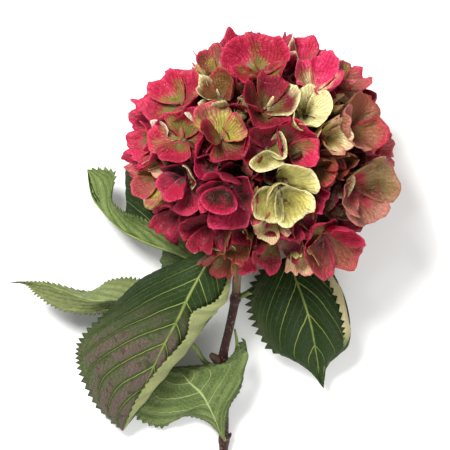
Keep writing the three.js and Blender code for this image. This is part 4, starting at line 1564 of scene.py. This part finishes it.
def make_pores():
    """Small raised pores scattered over the older bark"""
    count = bpy.context.scene.hydrangea_stem.spots
    shares = np.array([drawn(i, For.PORE_PLACE, *PORE_PLACES) for i in range(count)])
    path = curve_points(STEM_STATIONS, shares)
    ahead = path_directions(lambda places: curve_points(STEM_STATIONS, places), shares)
    angles = np.array([2 * math.pi * draw(i, For.PORE_ANGLE) for i in range(count)])
    side = unit(np.cross(ahead, vec(0, 0, 1)))
    rise = np.cross(side, ahead)
    outward = side * np.cos(angles)[:, None] + rise * np.sin(angles)[:, None]
    places = path + outward * stem_thickness(shares)[:, None]
    growth = [drawn(i, For.PORE_GROWTH, *PORE_GROWTH) for i in range(count)]
    source = point_source(places, outward, growth)
    finish = firm_finish("pore", *PORE_COLOURS)
    values = {"Size": PORE_SIZE * MM, "Height": PORE_HEIGHT * MM, "Finish": finish}
    return grown(source, button_tree(), values, "stem_pores")


# Leaves

# Teeth: where their points lie between two notches, how much of a tooth is cut back as a notch, how
# much they follow the leaf's rise, their sizes as a least value and what a draw adds, the width of
# leaf that a whole tooth needs, and how far inside the margin their direction is taken
TOOTH_PHASE = 0.675
NOTCH_SHARE = 0.4
TOOTH_FLATNESS = 0.4
TOOTH_SIZES = (0.7, 0.6)
TOOTH_ROOM = 0.9
MARGIN_INSET = 0.2

# The sheet of a leaf: room for its underside over the surface, the widths between two rails from
# which it domes or rolls in full, and the step along a rail that gives its direction
LEAF_ROOM = 0.37
DOME_WIDTH = 20
ROLL_WIDTH = 10
RAIL_STEP = 0.02

# The relief of a leaf: how its side veins curve forward, how high it is puffed up between them and
# where that fades towards the midrib and the margin, how deep its veins and midrib lie and how wide
# their grooves are, and the shares of its length beyond which its ends are flatter
VEIN_CURVE = 0.5
QUILT_HEIGHT = 0.8
QUILT_AT_MIDRIB = (0, 0.25)
QUILT_AT_MARGIN = (1.02, 0.75)
VEIN_DEPTH = 0.35
VEIN_GROOVE = (0.42, 0.5)
MIDRIB_DEPTH = 0.5
MIDRIB_GROOVE = (0.07, 0)
FLAT_BASE = 0.12
FLAT_TIP = 0.9

# The ribs under the leaves: where along a leaf they are placed, how thin they are at both ends as
# shares of a leaf stalk's radius, and the steps beside and ahead that give the leaf's upper side
RIB_SHARES = [0.02, 0.14, 0.28, 0.42, 0.56, 0.7, 0.82]
RIB_TAPER = (0.6, 0.25)
RIB_STEPS = 60
RIB_SIDES = 14
RIB_INSET = 0.1
RIB_AHEAD = 0.03
STALK_RADIUS = 1.6

# A margin whose teeth start at the base of the leaf
FROM_BASE = (-0.1, 0)

# Each leaf has rails that run from its base to its tip, listed from one margin to the other. The
# second is its midrib and a fourth ends the part that is rolled over. Its teeth are counted along a
# margin, and stand out by tooth and start at teeth_from on its first and last margin. Veins are the
# side veins of one half, vein_lean is how far they run forward, and spread is how far each rail lies
# from the midrib for the pattern of veins. Its upper_side is 1 where its upper side is seen from
# above and -1 where its underside is, and it domes to that side. Dome and roll are how far its sheet
# bulges midway between two rails, and over its rolled part. Its green_side is 1 where its sheet faces
# to its green side. Its stalk leaves the stem at a share of the stem's length.
LEAVES = {
    "leaf_front_left": {
        "teeth": 40,
        "tooth": [1.9, 0.6],
        "teeth_from": [(0.38, 0.5), (0.1, 0.2)],
        "veins": 9,
        "vein_lean": 0.24,
        "upper_side": 1,
        "green_side": 1,
        "dome": 3.2,
        "roll": 3.2,
        "stalk_from": 0.2,
        "stalk": [(-20, -61, 60)],
        "spread": [-1, 0, 0.8, 1],
        "rails": [
            [(-26, -57, 60), (-48, -66, 56), (-72, -77, 48), (-93, -97, 40), (-110, -116, 32),
             (-111, -133, 26), (-101, -157, 17), (-85, -174, 10)],
            [(-26, -56, 62), (-31, -66, 64), (-41, -84, 66), (-49, -101, 62), (-58, -118, 53),
             (-67, -137, 41), (-76, -155, 27), (-85, -174, 10)],
            [(-26, -57, 61), (-18, -72, 56), (-20, -88, 54), (-30, -102, 52), (-42, -117, 46),
             (-56, -135, 36), (-71, -154, 24), (-85, -174, 10)],
            [(-26, -56, 62), (-19, -73, 59), (-25, -89, 63), (-40, -97, 67), (-44, -112, 62),
             (-61, -132, 47), (-75, -152, 31), (-85, -174, 10)],
        ],
    },
    "leaf_upper_left": {
        "teeth": 36,
        "tooth": [1.6, 1.6],
        "teeth_from": [FROM_BASE, FROM_BASE],
        "veins": 6,
        "vein_lean": 0.5,
        "upper_side": -1,
        "green_side": -1,
        "dome": 2,
        "stalk_from": 0.2,
        "stalk": [(-24, -70, 45)],
        "spread": [-1, 0, 1],
        "rails": [
            [(-36, -67, 44), (-47, -52, 46), (-60, -45, 43), (-74, -39, 40), (-83, -36, 37),
             (-91, -28, 32), (-90, -11, 27), (-107, -9, 19)],
            [(-36, -67, 44), (-51, -61, 40), (-66, -56, 34), (-77, -51, 30), (-86, -46, 27),
             (-95, -37, 23), (-104, -26, 20), (-107, -9, 19)],
            [(-36, -67, 42), (-60, -68, 28), (-50, -27, 14), (-82, -9, 12), (-77, -28, 16),
             (-85, -37, 20), (-101, -22, 18), (-107, -9, 19)],
        ],
    },
    "leaf_far_left": {
        "teeth": 40,
        "tooth": [1.4, 1.4],
        "teeth_from": [FROM_BASE, FROM_BASE],
        "veins": 7,
        "vein_lean": 0.4,
        "upper_side": -1,
        "green_side": -1,
        "dome": 1.5,
        "stalk_from": 5 / 9,
        "stalk": [(-29, -131.5, 23), (-34, -128, 25), (-41, -118, 28)],
        "spread": [-1, 0, 1],
        "rails": [
            [(-58, -104, 31), (-64, -85, 22), (-77, -78, 12), (-93, -79, 8), (-107, -86, 8),
             (-128, -81, 16), (-143, -79, 26), (-156, -80, 22)],
            [(-58, -104, 31), (-73, -95, 34), (-87, -91, 36), (-103, -91, 36), (-119, -86, 34),
             (-133, -81, 31), (-144, -80, 27), (-156, -80, 22)],
            [(-58, -104, 31), (-74, -101, 28), (-91, -98, 27), (-106, -99, 26), (-124, -96, 24),
             (-137, -88, 25), (-145, -81, 26), (-156, -80, 22)],
        ],
    },
    "leaf_low": {
        "teeth": 30,
        "tooth": [1.6, 1.6],
        "teeth_from": [(0.1, 0.3), FROM_BASE],
        "veins": 6,
        "vein_lean": 0.3,
        "upper_side": -1,
        "green_side": 1,
        "dome": 2,
        "roll": 0,
        "stalk_from": 7 / 9,
        "stalk": [],
        "spread": [-1, 0, 0.85, 1],
        "rails": [
            [(-21, -180, 12), (-31, -169, 8), (-46, -165, 6), (-62, -172, 4), (-78, -163, 3),
             (-68, -145, 8), (-58, -134, 14)],
            [(-21, -180, 12), (-26, -167, 16), (-31, -156, 21), (-36, -148, 24), (-42, -142, 27),
             (-47, -137, 25), (-58, -134, 14)],
            [(-21, -180, 12), (-19, -159, 22), (-12, -144, 28), (-6, -124, 33), (-20, -130, 33),
             (-36, -132, 29), (-58, -134, 14)],
            [(-21, -180, 12), (-18, -159, 21), (-10, -143, 26), (-8, -116, 26), (-20, -129, 32),
             (-35, -131, 28), (-58, -134, 14)],
        ],
    },
    "leaf_right": {
        "teeth": 26,
        "tooth": [2.8, 1.6],
        "teeth_from": [FROM_BASE, FROM_BASE],
        "veins": 5.5,
        "vein_lean": 0.42,
        "upper_side": 1,
        "green_side": 1,
        "dome": 3,
        "roll": 1.5,
        "stalk_from": 3 / 9,
        "stalk": [(-4, -84, 34)],
        "spread": [-1, 0, 0.82, 1],
        "rails": [
            [(18, -64, 26), (2, -73, 36), (-5, -88, 36), (-2, -104, 30), (8, -121, 20), (24, -129, 18),
             (36, -138, 14), (42, -147, 9)],
            [(18, -64, 26), (22, -74, 34), (28, -90, 38), (33, -106, 34), (36, -121, 27), (38, -131, 20),
             (39, -139, 15), (42, -147, 9)],
            [(18, -64, 26), (40, -68, 30), (51, -82, 34), (57, -103, 32), (56, -119, 24), (45, -130, 17),
             (42, -139, 13), (42, -147, 9)],
            [(18, -64, 27), (37, -70, 34), (47, -85, 38), (53, -104, 36), (53, -117, 28), (43, -130, 20),
             (41, -139, 15), (42, -147, 9)],
        ],
    },
}
MIDRIB_RAIL = 1
ROLLED_RAIL = 2


def leaf_points(leaf, shares, place):
    """Where a leaf's sheet lies at shares of its length, at one place across its rails"""
    low = min(int(place), len(leaf["rails"]) - 2)
    t = place - low
    start = curve_points(leaf["rails"][low], shares)
    end = curve_points(leaf["rails"][low + 1], shares)
    ahead = curve_points(leaf["rails"][low], shares + RAIL_STEP)
    behind = curve_points(leaf["rails"][low], shares - RAIL_STEP)
    lift = unit(np.cross(ahead - behind, end - start))
    width, bulge = (DOME_WIDTH, leaf["dome"]) if low < ROLLED_RAIL else (ROLL_WIDTH, -leaf["roll"])
    room = np.minimum(1, np.linalg.norm(end - start, axis=1) / width)
    points = start * (1 - t) + end * t
    rise = bulge * leaf["upper_side"] * room * math.sin(math.pi * t)
    points += rise[:, None] * lift
    points[:, 2] = np.maximum(points[:, 2], SURFACE_LIFT + LEAF_ROOM)
    return points


def toothed_margin(leaf, shares, first):
    """The free margin of a leaf, with teeth that point to its tip"""
    last = len(leaf["rails"]) - 1
    rail = 0 if first else last
    edge = leaf_points(leaf, shares, rail)
    inner = leaf_points(leaf, shares, MARGIN_INSET if first else last - MARGIN_INSET)
    ahead = path_directions(lambda places: leaf_points(leaf, places, rail), shares)
    outward = edge - inner
    outward = (outward - ahead * np.sum(outward * ahead, axis=1)[:, None]) * vec(1, 1, TOOTH_FLATNESS)
    room = np.minimum(1, np.linalg.norm(outward, axis=1) / TOOTH_ROOM)
    room *= ease(*leaf["teeth_from"][0 if first else 1], shares)
    teeth = shares * leaf["teeth"]
    phase = teeth % 1
    rising = phase / TOOTH_PHASE
    falling = (1 - phase) / (1 - TOOTH_PHASE)
    uneven = np.array([drawn(int(tooth), For.TOOTH + rail, *TOOTH_SIZES) for tooth in teeth])
    height = leaf["tooth"][0 if first else 1] * uneven
    bite = height * ((1 + NOTCH_SHARE) * np.minimum(rising, falling) - NOTCH_SHARE)
    return edge + unit(outward) * (room * bite)[:, None]


def vein_run(leaf, side, share):
    """How many side veins lie between the leaf's base and a place on it"""
    lean = leaf["vein_lean"] * (np.abs(side) + VEIN_CURVE * np.abs(side) ** 3)
    return (share - lean) * leaf["veins"]


def leaf_relief(leaf, side, share):
    """How far a leaf's sheet is puffed up between its side veins, and sunk along them"""
    away = np.abs(vein_run(leaf, side, share) % 1 - 0.5)
    inside = ease(*QUILT_AT_MIDRIB, np.abs(side)) * ease(*QUILT_AT_MARGIN, np.abs(side))
    puffed = QUILT_HEIGHT * np.cos(math.pi * away) * inside
    sunk = VEIN_DEPTH * ease(*VEIN_GROOVE, away)
    rib = MIDRIB_DEPTH * ease(*MIDRIB_GROOVE, np.abs(side))
    return puffed - sunk - rib


def leaf_sheet(leaf, rows_per_tooth, columns):
    """Points, faces, rim, share and side of a leaf's sheet"""
    phases = np.linspace(0, 1, rows_per_tooth + 1)[:-1]
    phases[np.argmin(np.abs(phases - TOOTH_PHASE))] = TOOTH_PHASE
    shares = (np.arange(leaf["teeth"])[:, None] + phases).ravel()[1:] / leaf["teeth"]
    last = len(leaf["rails"]) - 1
    places = np.linspace(0, last, last * columns + 1)
    lines = [leaf_points(leaf, shares, place) for place in places]
    lines[0] = toothed_margin(leaf, shares, True)
    lines[-1] = toothed_margin(leaf, shares, False)
    side = np.interp(places, range(last + 1), leaf["spread"])
    grid = np.stack(lines, axis=1).reshape(-1, 3)
    rows, across = len(shares), len(places)
    ends = leaf_points(leaf, vec(0, 1), MIDRIB_RAIL)
    points = np.vstack([grid, ends])
    base, tip = rows * across, rows * across + 1
    faces = grid_faces(rows, across)
    top = (rows - 1) * across
    for k in range(across - 1):
        faces.append((base, k, k + 1))
        faces.append((tip, top + k + 1, top + k))
    rim = [base, *range(0, top + 1, across), tip, *range(rows * across - 1, 0, -across)]
    share_of = np.append(np.repeat(shares, across), [0, 1])
    side_of = np.append(np.tile(side, rows), [0, 0])
    return points, faces, rim, share_of, side_of


# Where the colours of leaves change, in shares of their length and of the way from their midrib,
# which is below zero towards their first margin


def leaf_blush(name, share, side):
    """Where a leaf turns purple-brown"""
    if name == "leaf_front_left":
        return 0.8 * ease(0.32, 0.62, share) * ease(-1.2, -0.7, side) * ease(0.5, 0.2, side)
    return 0.2 * ease(0.6, 1, np.abs(side))


def leaf_painted_shade(name, share, side):
    """Where painted shade makes a leaf a deeper green"""
    # Painted shade falls on the front left leaf near its base and first margin, on the right leaf near its
    # base, on one half of the upper left leaf and over the low leaf
    if name == "leaf_front_left":
        return ease(0.66, 0.36, share) * (0.6 + 0.4 * ease(-0.3, -0.9, side)) * ease(0.85, 0.78, side)
    if name == "leaf_right":
        return 0.85 * ease(0.85, 0.35, share)
    if name == "leaf_upper_left":
        return ease(-0.05, 0.15, side)
    if name == "leaf_low":
        return np.maximum(ease(0.84, 0.87, side), 0.3)
    return 0 * share


def leaf_fading_and_painted_light(name, share, side):
    """Where a leaf has lost its green, and where painted light pales the far left leaf"""
    if name == "leaf_right":
        return ease(0.8, 0.86, side) * ease(0.6, 0.45, share)
    if name == "leaf_front_left":
        return 0.3 * ease(0.8, 0.9, side)
    if name == "leaf_far_left":
        # On the far left leaf: a pale tint all over, and painted light that pales more of its half beyond
        # the midrib, which turns away from the light
        return 0.1 + 0.1 * ease(0, 0.3, side)
    return 0 * share


def make_leaf(name, upper_material, under_material):
    """One leaf's blade, quilted between its veins, with its upper side and underside"""
    settings = bpy.context.scene.hydrangea_leaves
    leaf = LEAVES[name]
    points, faces, rim, share, side = leaf_sheet(leaf, settings.rows, settings.columns)
    normals = sheet_normals(points, faces)
    room = ease(0, FLAT_BASE, share) * ease(1, FLAT_TIP, share)
    points = points + normals * (leaf["green_side"] * room * leaf_relief(leaf, side, share))[:, None]
    half = settings.thickness / MM / 2
    both = np.vstack([points + normals * half, points - normals * half])
    both[:, 2] = np.maximum(both[:, 2], LEAST_HEIGHT)
    closed = both_sides(faces, rim, len(points))
    piece = mesh_piece(name + "_blade", both, closed, [upper_material, under_material])
    counts = (len(faces), len(faces), len(closed) - 2 * len(faces))
    sides = (0, 1, 1) if leaf["green_side"] > 0 else (1, 0, 0)
    piece.data.polygons.foreach_set("material_index", np.repeat(sides, counts).astype(np.int32))
    add_number(piece.data, "blush", np.tile(leaf_blush(name, share, side), 2))
    add_number(piece.data, "painted_shade", np.tile(leaf_painted_shade(name, share, side), 2))
    add_number(piece.data, "faded_and_painted_light", np.tile(leaf_fading_and_painted_light(name, share, side), 2))
    add_number(piece.data, "veins", np.tile(vein_run(leaf, side, share), 2))
    add_map(piece.data, "leaf", np.tile(np.column_stack([0.5 + side / 2, share]), (2, 1)))
    return piece


def rib_path(leaf):
    """The line and radii of a leaf stalk and the midrib that runs on from it under the blade"""
    path = [curve_points(STEM_STATIONS, vec(leaf["stalk_from"]))[0], *(vec(*p) for p in leaf["stalk"])]
    stalk_count = len(path)
    ribs = STALK_RADIUS * np.linspace(*RIB_TAPER, len(RIB_SHARES))
    for share, radius in zip(RIB_SHARES, ribs):
        point = leaf_points(leaf, vec(share), MIDRIB_RAIL)[0]
        beside = leaf_points(leaf, vec(share), MIDRIB_RAIL - RIB_INSET)[0] - point
        ahead = leaf_points(leaf, vec(share + RIB_AHEAD), MIDRIB_RAIL)[0] - point
        upper = -leaf["upper_side"] * unit(np.cross(ahead, beside))
        path.append(point - upper * radius)
    radii = [*np.full(stalk_count, STALK_RADIUS), *ribs]
    shares = np.linspace(0, 1, RIB_STEPS)
    return curve_points(path, shares), np.interp(shares * (len(path) - 1), range(len(path)), radii)


def make_leaf_stalks():
    """The stalks and midribs of all the leaves"""
    lines = [rib_path(leaf) for leaf in LEAVES.values()]
    source = path_source([line for line, _ in lines], [radii for _, radii in lines])
    values = {"Sides": RIB_SIDES, "Finish": firm_finish("leaf_stalk", *LEAF_STALK_COLOURS)}
    return grown(source, tube_tree(), values, "leaf_stalks")


# The studio. Each light has its place, what it is aimed at, its width, and its share of the key
# light's power.

FLOOR_HALF = 3000
KEY_LIGHT = ((-380, 480, 1000), (0, -30, 40), 380, 1)
FILL_LIGHT = ((350, -800, 700), (0, -60, 40), 700, 0.4)
SURROUND_STRENGTH = 0.42

# The camera looks straight down on this place, and sees its view width at this height
VIEW_CENTRE = (-20.4, -43.8)
VIEW_LEVEL = 70
SENSOR_WIDTH = 36
SEEN_FROM = 0.05
SEEN_TO = 20


def make_floor():
    """A wide pale surface under the flower"""
    half = FLOOR_HALF
    corners = [(-half, -half, 0), (half, -half, 0), (half, half, 0), (-half, half, 0)]
    floor = mesh_piece("floor", corners, [(0, 1, 2, 3)], [floor_finish()])


def make_light(name, place, aim, width, share):
    """A square soft light that points from one place to another, in millimetres"""
    light = bpy.data.lights.new(name, "AREA")
    light.size = width * MM
    light.energy = bpy.context.scene.hydrangea_stage.key_power * share
    lamp = placed(name, light)
    lamp.location = Vector(place) * MM
    lamp.rotation_mode = "QUATERNION"
    lamp.rotation_quaternion = (Vector(aim) - Vector(place)).to_track_quat("-Z", "Y")


def make_lights():
    """A soft main light from the top left, a weaker one from the right, and an even white surround"""
    make_light("key_light", *KEY_LIGHT)
    make_light("fill_light", *FILL_LIGHT)
    world = bpy.data.worlds.new("soft white")
    world.use_nodes = True
    surround = world.node_tree.nodes["Background"]
    surround.inputs["Color"].default_value = (1, 1, 1, 1)
    surround.inputs["Strength"].default_value = SURROUND_STRENGTH
    bpy.context.scene.world = world


def make_camera():
    """A camera straight above the flower, with the top of the head up"""
    settings = bpy.context.scene.hydrangea_stage
    camera = bpy.data.cameras.new("camera")
    camera.sensor_width = SENSOR_WIDTH
    height = settings.camera_height / MM
    camera.lens = camera.sensor_width * (height - VIEW_LEVEL) * MM / settings.view_width
    camera.clip_start = SEEN_FROM
    camera.clip_end = SEEN_TO
    stand = placed("camera", camera)
    stand.location = Vector((*VIEW_CENTRE, height)) * MM
    bpy.context.scene.camera = stand


# Operators


class HYDRANGEA_OT_head(bpy.types.Operator):
    """Make the petals, eyes and stalks of the flower head"""

    bl_idname = "hydrangea.head"
    bl_label = "Make flower head"

    def execute(self, context):
        florets = outer_florets()
        for floret in florets:
            floret.around = neighbour_planes(floret, florets)
        finish = petal_finish()
        count = len(FRONT_FLORETS)
        front, fill = florets[:count] + lone_petals(), florets[count:]
        sides = [floret for floret in fill if floret.centre[2] > SIDE_HEIGHT]
        back = [floret for floret in fill if floret.centre[2] <= SIDE_HEIGHT]
        heart = make_heart()
        pieces = [
            make_petals("petals_front", front, finish),
            make_petals("petals_sides", sides, finish),
            make_petals("petals_back", back, finish),
            make_petals("petals_inner", inner_florets(), finish, INNER_FINENESS),
            make_eyes(florets),
            make_flower_stalks(florets),
            heart,
        ]
        for piece in pieces:
            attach(piece, BODY)
        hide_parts("flower_head")
        return {"FINISHED"}


class HYDRANGEA_OT_leaves(bpy.types.Operator):
    """Make the five leaves with their stalks"""

    bl_idname = "hydrangea.leaves"
    bl_label = "Make leaves"

    def execute(self, context):
        upper, under = leaf_upper_finish(), leaf_under_finish()
        for name, leaf in LEAVES.items():
            blade = make_leaf(name, upper, under)
            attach(blade, BODY)
            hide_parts(name)
        stalks = make_leaf_stalks()
        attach(stalks, BODY)
        return {"FINISHED"}


class HYDRANGEA_OT_stem(bpy.types.Operator):
    """Make the woody stem with its buds and pores"""

    bl_idname = "hydrangea.stem"
    bl_label = "Make stem"

    def execute(self, context):
        stem = make_stem()
        pores = make_pores()
        for piece in (stem, pores):
            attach(piece, BODY)
        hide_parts("stem")
        return {"FINISHED"}


class HYDRANGEA_OT_stage(bpy.types.Operator):
    """Make the surface, the lights and the camera"""

    bl_idname = "hydrangea.stage"
    bl_label = "Make studio"

    def execute(self, context):
        context.scene.view_settings.view_transform = "Standard"
        make_floor()
        make_lights()
        make_camera()
        return {"FINISHED"}


class HYDRANGEA_PT_panel(bpy.types.Panel):
    """Settings and makers of the hydrangea"""

    bl_idname = "HYDRANGEA_PT_panel"
    bl_label = "Cut hydrangea"
    bl_space_type = "VIEW_3D"
    bl_region_type = "UI"
    bl_category = "Hydrangea"

    def draw(self, context):
        parts = [
            (context.scene.hydrangea_petals, HYDRANGEA_OT_head),
            (context.scene.hydrangea_leaves, HYDRANGEA_OT_leaves),
            (context.scene.hydrangea_stem, HYDRANGEA_OT_stem),
            (context.scene.hydrangea_stage, HYDRANGEA_OT_stage),
        ]
        for settings, operator in parts:
            box = self.layout.box()
            for name in type(settings).__annotations__:
                box.prop(settings, name)
            box.operator(operator.bl_idname)


GROUPS = {
    "hydrangea_petals": PetalSettings,
    "hydrangea_leaves": LeafSettings,
    "hydrangea_stem": StemSettings,
    "hydrangea_stage": StageSettings,
}
OPERATORS = [HYDRANGEA_OT_head, HYDRANGEA_OT_leaves, HYDRANGEA_OT_stem, HYDRANGEA_OT_stage]


def register():
    """Adds the settings, operators and panel"""
    for name, group in GROUPS.items():
        bpy.utils.register_class(group)
        setattr(bpy.types.Scene, name, bpy.props.PointerProperty(type=group))
    for operator in OPERATORS:
        bpy.utils.register_class(operator)
    bpy.utils.register_class(HYDRANGEA_PT_panel)


def unregister():
    """Takes the panel, operators and settings out again"""
    bpy.utils.unregister_class(HYDRANGEA_PT_panel)
    for operator in reversed(OPERATORS):
        bpy.utils.unregister_class(operator)
    for name, group in GROUPS.items():
        delattr(bpy.types.Scene, name)
        bpy.utils.unregister_class(group)


def main():
    """Makes the flower and its studio"""
    register()
    bpy.ops.hydrangea.head()
    bpy.ops.hydrangea.leaves()
    bpy.ops.hydrangea.stem()
    bpy.ops.hydrangea.stage()


if __name__ == "__main__":
    main()
